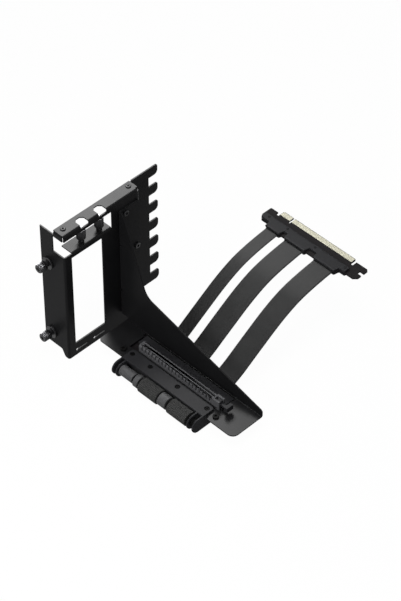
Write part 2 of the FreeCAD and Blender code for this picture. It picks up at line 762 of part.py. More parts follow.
def build_shelf():
    """One folded sheet: shelf, gusset and the rear flange that lies on the front plate."""
    body = new_body("card_shelf")
    fold = d.sheet + d.bend
    low = d.shelf_top - d.sheet
    outer = d.gusset_place + d.sheet
    slab(body, "gusset", "XZ_Plane", [polygon(
        (0, d.gusset_foot), (d.shelf_left, d.gusset_foot), (d.shelf_left, low), (d.shelf_right, low),
        (d.shelf_right, d.gusset_tip_height), (d.gusset_knee, d.gusset_knee_height),
        (d.gusset_nose, d.gusset_top), (0, d.gusset_top))], d.gusset_place, outer)
    round_edges(body, "gusset_knee_bend", d.gusset_knee_round, "Y", (d.gusset_knee, d.gusset_knee_height))
    round_edges(body, "gusset_tip", d.gusset_tip_round, "Y", (d.shelf_right, d.gusset_tip_height),
                (d.gusset_nose, d.gusset_top))
    slab(body, "rear_flange", "YZ_Plane", [rectangle(
        d.gusset_place, d.gusset_foot, d.gusset_flange, d.gusset_top)], 0, d.sheet)
    round_edges(body, "rear_bend_out", fold, "Z", (0, d.gusset_place))
    round_edges(body, "rear_bend_in", d.bend, "Z", (d.sheet, outer))
    slab(body, "shelf", "XY_Plane", [polygon(
        (d.shelf_left, d.shelf_front), (d.guide_notch_left, d.shelf_front),
        (d.guide_notch_left, d.guide_notch_back), (d.guide_notch_right, d.guide_notch_back),
        (d.guide_notch_right, d.shelf_front),
        (d.shelf_right, d.shelf_front), (d.shelf_right, outer), (d.shelf_left, outer))], low, d.shelf_top)
    round_edges(body, "shelf_bend_in", d.bend, "X", (d.gusset_place, d.shelf_top))
    round_edges(body, "shelf_bend_out", fold, "X", (outer, low))
    round_edges(body, "shelf_corner_right", d.shelf_round, "Z", (d.shelf_right, d.shelf_front))
    round_edges(body, "shelf_corner_left", d.shelf_corner, "Z", (d.shelf_left, d.shelf_front))
    round_edges(body, "guide_notch", d.guide_notch_round, "Z", (d.guide_notch_left, d.shelf_front),
                (d.guide_notch_left, d.guide_notch_back), (d.guide_notch_right, d.guide_notch_back),
                (d.guide_notch_right, d.shelf_front))

    fold_edge = d.gusset_place - d.bend
    shank_hole = d.shank_radius + d.hole_gap
    holes = [circle(x, d.guide_screw_place, d.guide_screw_radius) for x in guide_screw_spots()]
    holes += [circle(x, d.board_screw_place, shank_hole) for x in (d.board_screw_left, d.board_screw_right)]
    holes.append(rectangle(d.riser_gap_left, d.riser_gap_front, d.riser_gap_right, fold_edge))
    slab(body, "shelf_openings", "XY_Plane", holes, low - OVER, d.shelf_top + OVER, cut=True)
    relief_front = fold_edge - 2 * d.fold_relief
    slab(body, "fold_reliefs", "XY_Plane", [
        rectangle(x - d.fold_relief, relief_front, x + d.fold_relief, fold_edge)
        for x in (d.riser_gap_left, d.riser_gap_right)
    ], low - OVER, d.shelf_top + OVER, cut=True)
    slab(body, "flange_holes", "YZ_Plane", [
        circle(d.gusset_screw_high_place, d.gusset_screw_high, shank_hole),
        circle(d.gusset_screw_low_place, d.gusset_screw_low, shank_hole),
    ], -OVER, d.sheet + OVER, cut=True)
    slab(body, "bend_reliefs", "XZ_Plane", [
        rectangle(d.relief_inset - d.relief_radius, z - d.relief_radius, d.relief_inset + d.relief_radius,
                  z + d.relief_radius) for z in (d.relief_low, d.relief_high)
    ], d.gusset_place - OVER, outer + OVER, cut=True)

    group("gusset_screws", [
        small_screw("gusset_screw_upper", (d.sheet, d.gusset_screw_high_place, d.gusset_screw_high), TO_X,
                    d.gusset_screw_reach),
        small_screw("gusset_screw_lower", (d.sheet, d.gusset_screw_low_place, d.gusset_screw_low), TO_X,
                    d.gusset_screw_reach),
    ])


def build_riser():
    """The board under the shelf, the card slot with its clip, and the cover over the ribbon joints."""
    top = d.board_top
    under = top - d.board_thickness
    shank_hole = d.shank_radius + d.hole_gap
    screws = (("left", d.board_screw_left), ("right", d.board_screw_right))
    board = new_body("riser_board")
    slab(board, "board_plate", "XY_Plane", [polygon(
        (d.board_left, d.ear_front), (d.ear_left, d.ear_front), (d.ear_left, d.board_front),
        (d.ear_right, d.board_front), (d.ear_right, d.ear_front), (d.board_right, d.ear_front),
        (d.board_right, d.board_back), (d.board_left, d.board_back))], under, top)
    slab(board, "board_holes", "XY_Plane", [circle(x, d.board_screw_place, shank_hole) for side, x in screws],
         under - OVER, top + OVER, cut=True)

    gap = d.shelf_top - d.sheet - top
    reach = d.shelf_top - under + d.nut_height + d.head_height / 2
    spacers, bolts, nuts = [], [], []
    for side, x in screws:
        spacer = new_body(f"board_spacer_{side}", (x, d.board_screw_place, top), node=False)
        slab(spacer, f"board_spacer_{side}_hex", "XY_Plane", [hexagon(d.spacer_radius), circle(0, 0, shank_hole)],
             0, gap)
        spacers.append(spacer)
        bolts.append(small_screw(f"board_screw_{side}", (x, d.board_screw_place, d.shelf_top), UPRIGHT, reach))
        nut = new_body(f"board_nut_{side}", (x, d.board_screw_place, under - d.nut_height), node=False)
        slab(nut, f"board_nut_{side}_hex", "XY_Plane", [hexagon(d.nut_radius), circle(0, 0, d.shank_radius)],
             0, d.nut_height)
        nuts.append(nut)
    group("board_spacers", spacers)
    group("board_screws", bolts)
    group("board_nuts", nuts)

    slot = new_body("slot_housing")
    right = d.slot_left + d.slot_length
    near_side = d.slot_mid - d.slot_width / 2
    far_side = d.slot_mid + d.slot_width / 2
    slab(slot, "slot_block", "XY_Plane", [rectangle(d.slot_left, near_side, right, far_side)], top, d.slot_top)
    groove = d.slot_left + d.groove_left
    groove_near = d.slot_mid - d.groove_width / 2
    groove_far = d.slot_mid + d.groove_width / 2
    slab(slot, "card_groove", "XY_Plane", [
        rectangle(groove, groove_near, groove + d.key_start, groove_far),
        rectangle(groove + d.key_start + d.key_width, groove_near, groove + d.groove_length, groove_far),
    ], d.slot_top - d.groove_depth, d.slot_top + OVER, cut=True)
    rib_left = d.slot_left + d.rib_first
    rib_low = d.slot_top - d.rib_height
    for name, side, inward in (("near_chamfer", near_side, 1), ("far_chamfer", far_side, -1)):
        slab(slot, name, "YZ_Plane", [polygon(
            (side - inward * OVER, d.slot_top - d.slot_chamfer - OVER),
            (side + inward * (d.slot_chamfer + OVER), d.slot_top + OVER),
            (side - inward * OVER, d.slot_top + OVER))], d.slot_left - OVER, right + OVER, cut=True)
    rib_span = (d.rib_count - 1) * d.rib_pitch
    recess = rectangle(rib_left, rib_low, rib_left + d.rib_gap, d.slot_top + OVER)
    near_rib = slab(slot, "near_recess", "XZ_Plane", [recess], near_side - OVER, near_side + d.rib_depth,
                    cut=True)
    repeat(slot, "near_ribs", near_rib, "X_Axis", rib_span, d.rib_count)
    far_rib = slab(slot, "far_recess", "XZ_Plane", [recess], far_side - d.rib_depth, far_side + OVER, cut=True)
    repeat(slot, "far_ribs", far_rib, "X_Axis", rib_span, d.rib_count)
    ear_end = right + d.ear_length
    room_near = d.slot_mid - d.clip_room / 2
    room_far = d.slot_mid + d.clip_room / 2
    slab(slot, "clip_ears", "XY_Plane", [rectangle(right - OVER, near_side, ear_end, room_near),
                                         rectangle(right - OVER, room_far, ear_end, far_side)], top, d.slot_top)
    slab(slot, "clip_floor_plate", "XY_Plane", [rectangle(right - OVER, near_side, ear_end, far_side)], top,
         top + d.clip_floor)
    pivot = right + d.clip_pivot
    pivot_height = top + d.clip_pivot_height
    slab(slot, "pin_holes", "XZ_Plane", [circle(pivot, pivot_height, d.clip_pin_radius)], near_side - OVER,
         far_side + OVER, cut=True)

    clip = new_body("card_clip")
    boss = d.clip_boss
    slab(clip, "clip_lever", "XZ_Plane", [
        polygon((pivot - boss, pivot_height - boss), (pivot + boss, pivot_height - boss),
                (pivot + boss, d.clip_lever_low), (d.clip_reach, d.clip_lever_low),
                (d.clip_reach, d.clip_lever_high), (pivot + boss, d.clip_lever_high),
                (pivot + boss, d.clip_hook_height), (pivot - boss, d.clip_hook_height)),
        circle(pivot, pivot_height, d.clip_pin_radius + d.pin_gap),
    ], room_near + d.clip_gap, room_far - d.clip_gap)
    paddle = rectangle(d.clip_reach - d.clip_paddle, d.clip_lever_low, d.clip_reach, d.clip_paddle_height)
    slab(clip, "clip_paddle_block", "XZ_Plane", [paddle], near_side, far_side)
    pin = new_body("clip_pin", (pivot, near_side, pivot_height), TO_Y)
    turned(pin, "clip_pin_turned", (0, 0), (d.clip_pin_radius, 0), (d.clip_pin_radius, d.slot_width),
           (0, d.slot_width))

    cover = new_body("riser_cover")
    slab(cover, "riser_cover_plate", "XY_Plane", [rectangle(
        d.cover_left, far_side + d.cover_gap, d.cover_right, d.cover_back)], top, top + d.cover_height)


def guide_screw_spots():
    return d.guide_screw_first, d.guide_screw_second, d.guide_screw_third, d.guide_screw_last


def axle_place():
    """The axle's line: the middle of the cheeks' round noses."""
    radius = (d.shelf_top + d.guide_plate - d.cheek_low) / 2
    return 0, d.cheek_tip + radius, d.cheek_low + radius


def axle_piece(label, *corners):
    """A turned piece on the guide's axle: corners are radius and place along X."""
    turned(new_body(label, axle_place(), TO_X), label + "_turned", *corners)


def axle_ring(label, radius, start, end):
    axle_piece(label, (d.axle_radius, start), (radius, start), (radius, end), (d.axle_radius, end))


def roller(label, start, end):
    """A ribbed rubber roller that turns on the axle."""
    body = new_body(label, axle_place(), TO_X)
    slab(body, label + "_ribs", "XY_Plane", [
        toothed(SIZES["groove_count"], d.roller_radius, d.roller_radius - d.groove_cut),
        circle(0, 0, d.axle_radius + d.axle_gap)], start, end)


def build_guide():
    """The cable guide on the shelf's edge: a moulded frame and rollers between its cheeks."""
    top = d.shelf_top + d.guide_plate
    sheet_low = d.shelf_top - d.sheet
    notch_edge = d.guide_notch_back - d.guide_gap
    frame = new_body("guide_frame")
    slab(frame, "guide_plate_block", "XY_Plane", [rectangle(
        d.guide_left, d.guide_front, d.guide_right, d.guide_back)], d.shelf_top, top)
    round_edges(frame, "guide_corners", d.guide_round, "Z", (d.guide_left, d.guide_back),
                (d.guide_right, d.guide_back))
    left_inner = d.guide_left + d.cheek + d.cheek_gap_left
    right_inner = d.guide_right - d.cheek - d.cheek_gap_right
    tail_top = sheet_low - d.guide_gap
    cheek = polygon((d.cheek_tip, d.cheek_low), (d.cheek_tail, d.cheek_low), (d.cheek_tail, tail_top),
                    (notch_edge, tail_top), (notch_edge, top), (d.cheek_tip, top))
    for name, start in (("left_outer_cheek", d.guide_left), ("left_inner_cheek", left_inner),
                        ("right_inner_cheek", right_inner - d.cheek),
                        ("right_outer_cheek", d.guide_right - d.cheek)):
        slab(frame, name, "YZ_Plane", [cheek], start, start + d.cheek)
    radius = (top - d.cheek_low) / 2
    round_edges(frame, "cheek_noses", radius - d.nose_flat, "X", (d.cheek_tip, d.cheek_low), (d.cheek_tip, top))
    along, axis_place, axis_height = axle_place()
    slab(frame, "axle_holes", "YZ_Plane", [circle(axis_place, axis_height, d.axle_radius)],
         d.guide_left + d.cheek, d.guide_right - d.cheek, cut=True)
    trough = axis_place + d.roller_radius + d.trough_gap
    slab(frame, "trough_wall", "YZ_Plane", [rectangle(trough, d.cheek_low, trough + d.cheek, d.shelf_top)],
         left_inner, right_inner)
    holes = [circle(x, d.guide_screw_place, d.guide_screw_radius) for x in guide_screw_spots()]
    slab(frame, "guide_screw_holes", "XY_Plane", holes, d.shelf_top - OVER, top + OVER, cut=True)
    screw_low = sheet_low - d.guide_screw_reach
    screws = []
    for k, x in enumerate(guide_screw_spots(), start=1):
        screw = new_body(f"guide_screw_{k}", node=False)
        outline = circle(x, d.guide_screw_place, d.guide_screw_radius)
        slab(screw, f"guide_screw_{k}_round", "XY_Plane", [outline], screw_low, top - d.guide_screw_sink)
        screws.append(screw)
    group("guide_screws", screws)

    axle_piece("guide_axle", (0, d.guide_left + d.cheek), (d.axle_radius, d.guide_left + d.cheek),
               (d.axle_radius, d.guide_right - d.cheek), (0, d.guide_right - d.cheek))
    axle_ring("end_bush", d.bush_radius, left_inner + d.cheek, d.bush_end)
    axle_ring("spacer_ring", d.ring_radius, d.ring_start, d.ring_end)
    roller("roller_left", d.left_roller_start, d.left_roller_end)
    axle_ring("spacer_sleeve", d.sleeve_radius, d.sleeve_start, d.sleeve_end)
    roller("roller_right", d.right_roller_start, d.right_roller_end)


def route_wire():
    """The ribbons' route as straight runs joined by arcs, in the YZ plane."""
    points = [FreeCAD.Vector(0, y, z) for y, z in RIBBON_ROUTE]
    edges = []
    start = points[0]
    for before, corner, after in zip(points, points[1:], points[2:]):
        back = (before - corner).normalize()
        ahead = (after - corner).normalize()
        reach = ROUTE_SHARE * min(before.distanceToPoint(corner), after.distanceToPoint(corner))
        middle = (back + ahead).normalize()
        half = back.getAngle(ahead) / 2
        arc_start = corner + back * reach
        arc_end = corner + ahead * reach
        radius = reach * math.tan(half)
        arc_middle = corner + middle * (reach / math.cos(half) - radius)
        edges.append(Part.LineSegment(start, arc_start).toShape())
        edges.append(Part.Arc(arc_start, arc_middle, arc_end).toShape())
        start = arc_end
    edges.append(Part.LineSegment(start, points[-1]).toShape())
    return Part.Wire(edges)


def ribbon(label, start, width):
    """A flat ribbon cable: its section swept along the route."""
    wire = route_wire()
    first = wire.Edges[0]
    along = (first.lastVertex().Point - first.firstVertex().Point).normalize()
    across = FreeCAD.Vector(1, 0, 0)
    thick = along.cross(across) * (d.ribbon_thickness.number / 2)
    origin = wire.Edges[0].firstVertex().Point
    left = across * start.number
    right = across * (start.number + width.number)
    corners = [origin + left - thick, origin + right - thick, origin + right + thick, origin + left + thick]
    section = Part.makePolygon(corners + corners[:1])
    feature = doc.addObject("Part::Feature", label)
    feature.Label = label
    feature.Shape = wire.makePipeShell([section], True, False)
    place(feature, (0, d.board_back, d.board_top))
    NODES[label] = feature
    want = wire.Length * width.number * d.ribbon_thickness.number
    if abs(feature.Shape.Volume - want) > 0.02 * want:
        raise RuntimeError(f"{label} has the wrong volume")


def ribbon_spans():
    return ((d.ribbon_left_start, d.ribbon_left_width), (d.ribbon_middle_start, d.ribbon_middle_width),
            (d.ribbon_right_start, d.ribbon_right_width))


def build_plug():
    """The edge board that plugs into the main board, its two covers and contact strips."""
    under = d.plug_top - d.board_thickness
    finger_right = d.plug_finger_left + d.plug_finger_length
    key_left = d.plug_finger_left + d.plug_finger_short
    key_right = key_left + d.plug_key
    trim = d.plug_trim
    back_left = d.ribbon_left_start - d.plug_cover_margin
    back_right = d.ribbon_right_start + d.ribbon_right_width + d.plug_cover_margin
    ear_right = d.plug_left + d.plug_ear_width
    hook_neck = d.plug_hook_right - d.plug_hook_slot
    board = new_body("plug_board")
    slab(board, "plug_board_plate", "XY_Plane", [polygon(
        (d.plug_left, d.plug_waist + d.plug_chamfer), (d.plug_left + d.plug_chamfer, d.plug_waist),
        (back_left, d.plug_waist), (back_left, d.plug_back), (back_right, d.plug_back),
        (back_right, d.plug_waist),
        (d.plug_hook_right - d.plug_chamfer, d.plug_waist), (d.plug_hook_right, d.plug_waist + d.plug_chamfer),
        (d.plug_hook_right, d.plug_hook_low), (hook_neck, d.plug_hook_low), (hook_neck, d.plug_hook_high),
        (d.plug_hook_right, d.plug_hook_high), (d.plug_hook_right, d.plug_hook_tip - 2 * trim),
        (d.plug_hook_right - 2 * trim, d.plug_hook_tip), (d.plug_hook_left, d.plug_hook_tip),
        (d.plug_hook_left, d.plug_finger_root), (finger_right, d.plug_finger_root),
        (finger_right, d.plug_edge - trim), (finger_right - trim, d.plug_edge),
        (key_right, d.plug_edge), (key_right, d.plug_finger_root),
        (key_left, d.plug_finger_root), (key_left, d.plug_edge), (d.plug_finger_left + trim, d.plug_edge),
        (d.plug_finger_left, d.plug_edge - trim), (d.plug_finger_left, d.plug_finger_root),
        (ear_right, d.plug_finger_root), (ear_right, d.plug_ear_tip), (d.plug_left + trim, d.plug_ear_tip),
        (d.plug_left, d.plug_ear_tip - trim))], under, d.plug_top)

    outline = [(d.plug_cover_left, d.plug_cover_edge), (d.plug_cover_left, d.plug_cover_waist)]
    for start, width in ribbon_spans():
        left = start - d.plug_cover_margin
        right = start + width + d.plug_cover_margin
        outline += [(left, d.plug_cover_waist), (left, d.plug_cover_back), (right, d.plug_cover_back),
                    (right, d.plug_cover_waist)]
    outline += [(d.plug_cover_right, d.plug_cover_waist), (d.plug_cover_right, d.plug_cover_edge)]
    for label, low in (("plug_cover_top", d.plug_top), ("plug_cover_bottom", under - d.plug_cover_height)):
        cover = new_body(label)
        slab(cover, label + "_plate", "XY_Plane", [polygon(*outline)], low, low + d.plug_cover_height)
        round_edges(cover, label + "_corners", d.plug_trim, "Z", *outline[:2], *outline[-2:])

    strip_back = d.plug_edge - d.pad_inset - d.pad_length
    strip_front = d.plug_edge - d.pad_inset
    strips = []
    for face, low in (("top", d.plug_top), ("bottom", under - d.pad_thickness)):
        for part, left, right in (("short", d.plug_finger_left + trim, key_left - trim),
                                  ("long", key_right + trim, finger_right - trim)):
            strip = new_body(f"plug_strip_{face}_{part}", node=False)
            slab(strip, f"plug_strip_{face}_{part}_plate", "XY_Plane",
                 [rectangle(left, strip_back, right, strip_front)], low, low + d.pad_thickness)
            strips.append(strip)
    group("plug_contacts", strips)


def build_thumb_screws():
    """Two screws that hold the bracket to a case and two that hold the card's tab on its seat."""
    ferrules = []
    bore = d.thread_radius + d.thread_gap
    half = d.screw_spread / 2
    for side, height in (("lower", d.screw_mid - half), ("upper", d.screw_mid + half)):
        ferrule = new_body(f"case_ferrule_{side}", (-d.screw_setback, 0, height), AWAY_Y, node=False)
        turned(ferrule, f"case_ferrule_{side}_turned", (bore, 0), (d.ferrule_radius, 0),
               (d.ferrule_radius, d.ferrule_length), (bore, d.ferrule_length))
        ferrules.append(ferrule)
        thumb_screw(f"case_screw_{side}", (-d.screw_setback, -d.ferrule_length, height), AWAY_Y,
                    d.screw_neck_length, d.screw_head_length, d.case_screw_reach, d.ferrule_length + d.sheet)
    group("case_ferrules", ferrules)
    for side, across in (("left", d.card_screw_first), ("right", d.card_screw_first + d.slot_pitch)):
        thumb_screw(f"card_screw_{side}", (-d.card_screw_setback, across, d.seat_height), UPRIGHT,
                    d.card_neck_length, d.card_head_length, d.card_screw_reach)


build_frame()
build_shelf()
build_riser()
build_guide()
for side, (start, width) in zip(("left", "middle", "right"), ribbon_spans()):
    ribbon(f"ribbon_{side}", start, width)
build_plug()
build_thumb_screws()
doc.recompute()

for thing in doc.Objects:
    if "Invalid" in thing.State or "Error" in thing.State:
        raise RuntimeError(f"{thing.Name} did not build")
for label, thing in NODES.items():
    if thing.Shape.isNull() or not thing.Shape.isValid():
        raise RuntimeError(f"{label} has no valid shape")

os.makedirs("parts", exist_ok=True)
for label, thing in NODES.items():
    thing.Shape.exportStep(f"parts/{label}.step")
    print(f"{label}: {len(thing.Shape.Solids)} solids, {thing.Shape.Volume:.1f} mm3")
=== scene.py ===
import json
import bmesh
import bpy
import numpy as np
from mathutils import Matrix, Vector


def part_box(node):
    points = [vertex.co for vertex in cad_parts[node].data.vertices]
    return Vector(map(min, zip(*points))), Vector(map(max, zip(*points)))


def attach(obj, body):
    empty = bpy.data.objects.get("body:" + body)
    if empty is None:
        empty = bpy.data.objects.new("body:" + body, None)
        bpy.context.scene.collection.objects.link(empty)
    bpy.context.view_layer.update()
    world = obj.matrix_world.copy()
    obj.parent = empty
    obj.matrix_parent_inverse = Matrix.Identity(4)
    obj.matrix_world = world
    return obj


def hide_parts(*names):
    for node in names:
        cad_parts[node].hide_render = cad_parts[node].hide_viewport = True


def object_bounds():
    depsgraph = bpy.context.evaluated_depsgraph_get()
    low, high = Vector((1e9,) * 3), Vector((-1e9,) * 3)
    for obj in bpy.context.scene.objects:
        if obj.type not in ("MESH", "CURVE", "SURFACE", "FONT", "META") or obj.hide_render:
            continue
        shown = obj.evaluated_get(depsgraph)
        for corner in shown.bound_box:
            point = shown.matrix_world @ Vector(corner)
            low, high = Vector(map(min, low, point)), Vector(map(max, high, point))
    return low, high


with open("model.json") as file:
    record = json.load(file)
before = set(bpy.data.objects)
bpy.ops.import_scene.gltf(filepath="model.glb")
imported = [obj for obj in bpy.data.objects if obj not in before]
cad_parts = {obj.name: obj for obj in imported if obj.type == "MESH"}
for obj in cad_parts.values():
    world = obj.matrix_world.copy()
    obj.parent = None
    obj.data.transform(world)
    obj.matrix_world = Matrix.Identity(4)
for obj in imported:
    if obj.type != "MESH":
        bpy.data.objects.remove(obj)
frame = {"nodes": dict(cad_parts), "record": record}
cad_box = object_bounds()
nodes = frame["nodes"]
X, Y, Z = 0, 1, 2


def node_box(node):
    """Lowest and highest corner of a solid at rest, in millimetres."""
    return np.array(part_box(node)) * 1000


def colour(text):
    """sRGB hex to linear RGBA: c / 12.92 up to 0.04045, and ((c + 0.055) / 1.055) ** 2.4 above it."""
    srgb = np.array([int(text[k:k + 2], 16) for k in (1, 3, 5)]) / 255
    linear = np.where(srgb <= 0.04045, srgb / 12.92, ((srgb + 0.055) / 1.055) ** 2.4)
    return (*linear.tolist(), 1.0)


def per_metre(size_mm):
    """The scale of a pattern whose features are this many millimetres wide."""
    return 1000 / size_mm


def add(tree, kind, values=(), links=(), **settings):
    """Adds a node: settings are its properties, values its sockets' numbers, links its incoming sockets."""
    made = tree.nodes.new(kind)
    for name, value in settings.items():
        setattr(made, name, value)
    for socket, value in dict(values).items():
        made.inputs[socket].default_value = value
    for socket, source in dict(links).items():
        tree.links.new(source, made.inputs[socket])
    return made


def put(name, data):
    """A new object in the scene that holds a mesh, curve, lamp or camera."""
    made = bpy.data.objects.new(name, data)
    bpy.context.scene.collection.objects.link(made)
    return made


def new_material(name):
    """A material with an empty node tree, and that tree."""
    made = bpy.data.materials.new(name)
    made.use_nodes = True
    made.node_tree.nodes.clear()
    return made, made.node_tree


# How far the patches and the raised grain break up into finer ones, and how hard the grain shades.
PATCH_DETAIL, GRAIN_DETAIL, GRAIN_STRENGTH = 4.0, 2.0, 0.6
# A colour mix has its two colours on these inputs and the result on this output.
MIX_FIRST, MIX_SECOND, MIX_RESULT = 6, 7, 2


def grained(name, dark, light, patch_mm, grain_mm, depth_mm, rough, shader):
    """A finish with soft patches of two tones, patches of roughness and a fine raised grain."""
    made, tree = new_material(name)
    place = add(tree, "ShaderNodeTexCoord").outputs["Object"]
    patches = add(tree, "ShaderNodeTexNoise", {"Scale": per_metre(patch_mm), "Detail": PATCH_DETAIL},
                  {"Vector": place}).outputs["Fac"]
    tone = add(tree, "ShaderNodeMix", {MIX_FIRST: colour(dark), MIX_SECOND: colour(light)}, {0: patches},
               data_type="RGBA")
    gloss = add(tree, "ShaderNodeMapRange", {"To Min": rough[0], "To Max": rough[1]}, {"Value": patches})
    grain = add(tree, "ShaderNodeTexNoise", {"Scale": per_metre(grain_mm), "Detail": GRAIN_DETAIL},
                {"Vector": place})
    relief = add(tree, "ShaderNodeBump", {"Strength": GRAIN_STRENGTH, "Distance": depth_mm / 1000},
                 {"Height": grain.outputs["Fac"]})
    surface = add(tree, "ShaderNodeBsdfPrincipled", shader, {
        "Base Color": tone.outputs[MIX_RESULT],
        "Roughness": gloss.outputs["Result"],
        "Normal": relief.outputs["Normal"],
    })
    add(tree, "ShaderNodeOutputMaterial", {}, {"Surface": surface.outputs["BSDF"]})
    return made


# The floor shows white in reflections, so the black finishes mirror far less here than the real materials
# do: their specular levels were lowered until each one matched its tone in the photo.

# Powder coat baked on folded steel: black, with a soft wide sheen where it faces the back lamp, and an
# orange-peel skin. The skin is about 0.5 mm across and is drawn at 1.6 mm so that it shows.
powder_coat = grained(
    "powder_coated_steel", dark="#161617", light="#1F1F20", patch_mm=18.0, grain_mm=1.6, depth_mm=0.004,
    rough=(0.38, 0.44), shader={"IOR": 1.5, "Specular IOR Level": 0.032})
# Black zinc on turned steel: a thin dark skin that lets the metal's sheen through.
black_zinc = grained(
    "black_zinc_steel", dark="#2A2A2B", light="#343436", patch_mm=6.0, grain_mm=0.8, depth_mm=0.006,
    rough=(0.26, 0.34), shader={"Metallic": 0.7, "IOR": 1.5, "Specular IOR Level": 0.3})
# Oiled black steel, drawn near black: the small sunk screws show as dark spots, partly through their own
# black finish and partly as painted shade of the seats they sit in.
dark_oxide_and_shade = grained(
    "black_oxide_steel_and_shade", dark="#0C0C0C", light="#141414", patch_mm=3.0, grain_mm=0.6, depth_mm=0.006,
    rough=(0.55, 0.7), shader={"IOR": 1.5, "Specular IOR Level": 0.02})
# Moulded nylon: a spark-eroded mould leaves a fine even grain, drawn at 1.2 mm so that it shows.
moulded_nylon = grained(
    "moulded_nylon", dark="#28282A", light="#313133", patch_mm=14.0, grain_mm=1.2, depth_mm=0.015,
    rough=(0.4, 0.48), shader={"IOR": 1.53, "Specular IOR Level": 0.012})
# Glass-filled connector plastic: greyer than the nylon, with short fibres near the skin.
connector_plastic = grained(
    "connector_plastic", dark="#545456", light="#5E5E60", patch_mm=5.0, grain_mm=0.7, depth_mm=0.012,
    rough=(0.5, 0.6), shader={"IOR": 1.58, "Specular IOR Level": 0.01})
# Black anodised aluminium, turned: satin and brighter than the coated sheet. Its oxide skin hides the metal,
# so it is hardly metallic.
anodised = grained(
    "black_anodised_aluminium", dark="#525253", light="#5D5D5E", patch_mm=4.0, grain_mm=0.6, depth_mm=0.006,
    rough=(0.42, 0.5), shader={"Metallic": 0.01, "IOR": 1.5, "Specular IOR Level": 0.02})
# Moulded rubber: dull, with a faint bloom in patches.
rubber = grained(
    "moulded_rubber", dark="#393939", light="#444443", patch_mm=5.0, grain_mm=0.9, depth_mm=0.008,
    rough=(0.6, 0.75), shader={"IOR": 1.52, "Specular IOR Level": 0.02})
# Zinc-plated steel: a pale grey metal with a soft crystalline patchiness.
zinc_steel = grained(
    "zinc_plated_steel", dark="#8E8F91", light="#B0B1B3", patch_mm=3.0, grain_mm=0.5, depth_mm=0.005,
    rough=(0.28, 0.4), shader={"Metallic": 1.0})
# Solder mask over glass epoxy: an even black lacquer with a low gloss.
solder_mask = grained(
    "black_solder_mask", dark="#1C1A1B", light="#252223", patch_mm=8.0, grain_mm=0.6, depth_mm=0.003,
    rough=(0.5, 0.6), shader={"IOR": 1.52, "Specular IOR Level": 0.01})
# Sleeve of a flat shielded cable: smooth calendered vinyl tape, a little greyer than the metal, with a soft
# streak of sheen where it bends.
ribbon_sleeve = grained(
    "vinyl_cable_sleeve", dark="#303030", light="#393939", patch_mm=10.0, grain_mm=1.0, depth_mm=0.0006,
    rough=(0.36, 0.44), shader={"IOR": 1.53, "Specular IOR Level": 0.012})
# Gold plating over nickel with the bright room's reflection painted in: the pale ivory is the gold's tint
# plus a painted reflection of the white surroundings. It is drawn as a pale paint with little metal in it, so
# that it keeps an even tone.
gold_painted_reflection = grained(
    "gold_contacts_painted_reflection", dark="#C6C3AD", light="#D0CDBB", patch_mm=3.0, grain_mm=0.4, depth_mm=0.002,
    rough=(0.5, 0.6), shader={"Metallic": 0.05, "Specular IOR Level": 0.04})
# Tin-lead solder drawn up round a pin: bright grey with a wet look.
solder = grained(
    "tin_solder", dark="#A4A5A6", light="#C4C5C6", patch_mm=1.0, grain_mm=0.3, depth_mm=0.003,
    rough=(0.25, 0.35), shader={"Metallic": 1.0})

FINISHES = {
    "powder_coat": powder_coat,
    "black_screws": black_zinc,
    "black_plastic": moulded_nylon,
    "satin_sleeves": anodised,
    "roller_grip": rubber,
    "steel": zinc_steel,
    "board_black": solder_mask,
    "ribbon_sleeve": ribbon_sleeve,
    "contact_strip": gold_painted_reflection,
}
SLOTS = {part["node"]: part["material_slot"] for part in frame["record"]["subparts"]}
NODE_FINISH = {node: FINISHES[slot] for node, slot in SLOTS.items()}
# The card slot is of another plastic than the covers. The guide's axle is steel but is drawn in the
# near-black oxide finish as painted shade, so that the gap between its cheek and roller stays dark.
NODE_FINISH["slot_housing"] = connector_plastic
NODE_FINISH["guide_axle"] = dark_oxide_and_shade
for node, material in NODE_FINISH.items():
    nodes[node].data.materials.clear()
    nodes[node].data.materials.append(material)


def show(name, mesh, material, body):
    """Puts a finished mesh into the scene on the body that carries it."""
    mesh.materials.append(material)
    made = put(name, mesh)
    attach(made, body)
    return made


def piece(name, vertices, faces, material, body="bracket", smooth=True):
    """A mesh from points in millimetres."""
    mesh = bpy.data.meshes.new(name)
    mesh.from_pydata((np.asarray(vertices).reshape(-1, 3) / 1000).tolist(), [], faces)
    if smooth:
        mesh.shade_smooth()
    mesh.update()
    return show(name, mesh, material, body)


def tube_faces(rings, around, copies=1):
    """Faces of like closed tubes whose vertices follow one another.

    In each, vertex (i, j) meets (i, j+1), (i+1, j+1) and (i+1, j) in a quad, with j round the ring, and the
    first and last ring are capped.
    """
    i, j = np.meshgrid(np.arange(rings - 1), np.arange(around), indexing="ij")
    ahead = (j + 1) % around
    corners = [i * around + j, i * around + ahead, (i + 1) * around + ahead, (i + 1) * around + j]
    quads = np.stack(corners, axis=-1).reshape(-1, 4)
    ring = np.arange(around)
    caps = np.stack([ring[::-1], ring + (rings - 1) * around])
    first = np.arange(copies)[:, None, None] * rings * around
    return (quads + first).reshape(-1, 4).tolist() + (caps + first).reshape(-1, around).tolist()


# Mouldings leave the tool with a small radius, and cut or turned pieces are deburred: the width of each
# broken edge in mm.
BROKEN_EDGES = {
    "guide_frame": 0.3,
    "slot_housing": 0.2,
    "card_clip": 0.2,
    "riser_cover": 0.35,
    "plug_board": 0.15,
    "case_ferrules": 0.35,
    "end_bush": 0.4,
    "spacer_ring": 0.4,
    "spacer_sleeve": 0.4,
}
# An edge is broken where its faces turn by more than this; a rolled bend's facets turn less.
SHARP = np.radians(30)
# Points closer than this, in metres, are one point, and faces that turn by less than this are one face.
SAME_POINT, SAME_FACE = 1e-6, np.radians(0.5)
BEVEL_STEPS, FLAT_FACE_WEIGHT = 2, 50


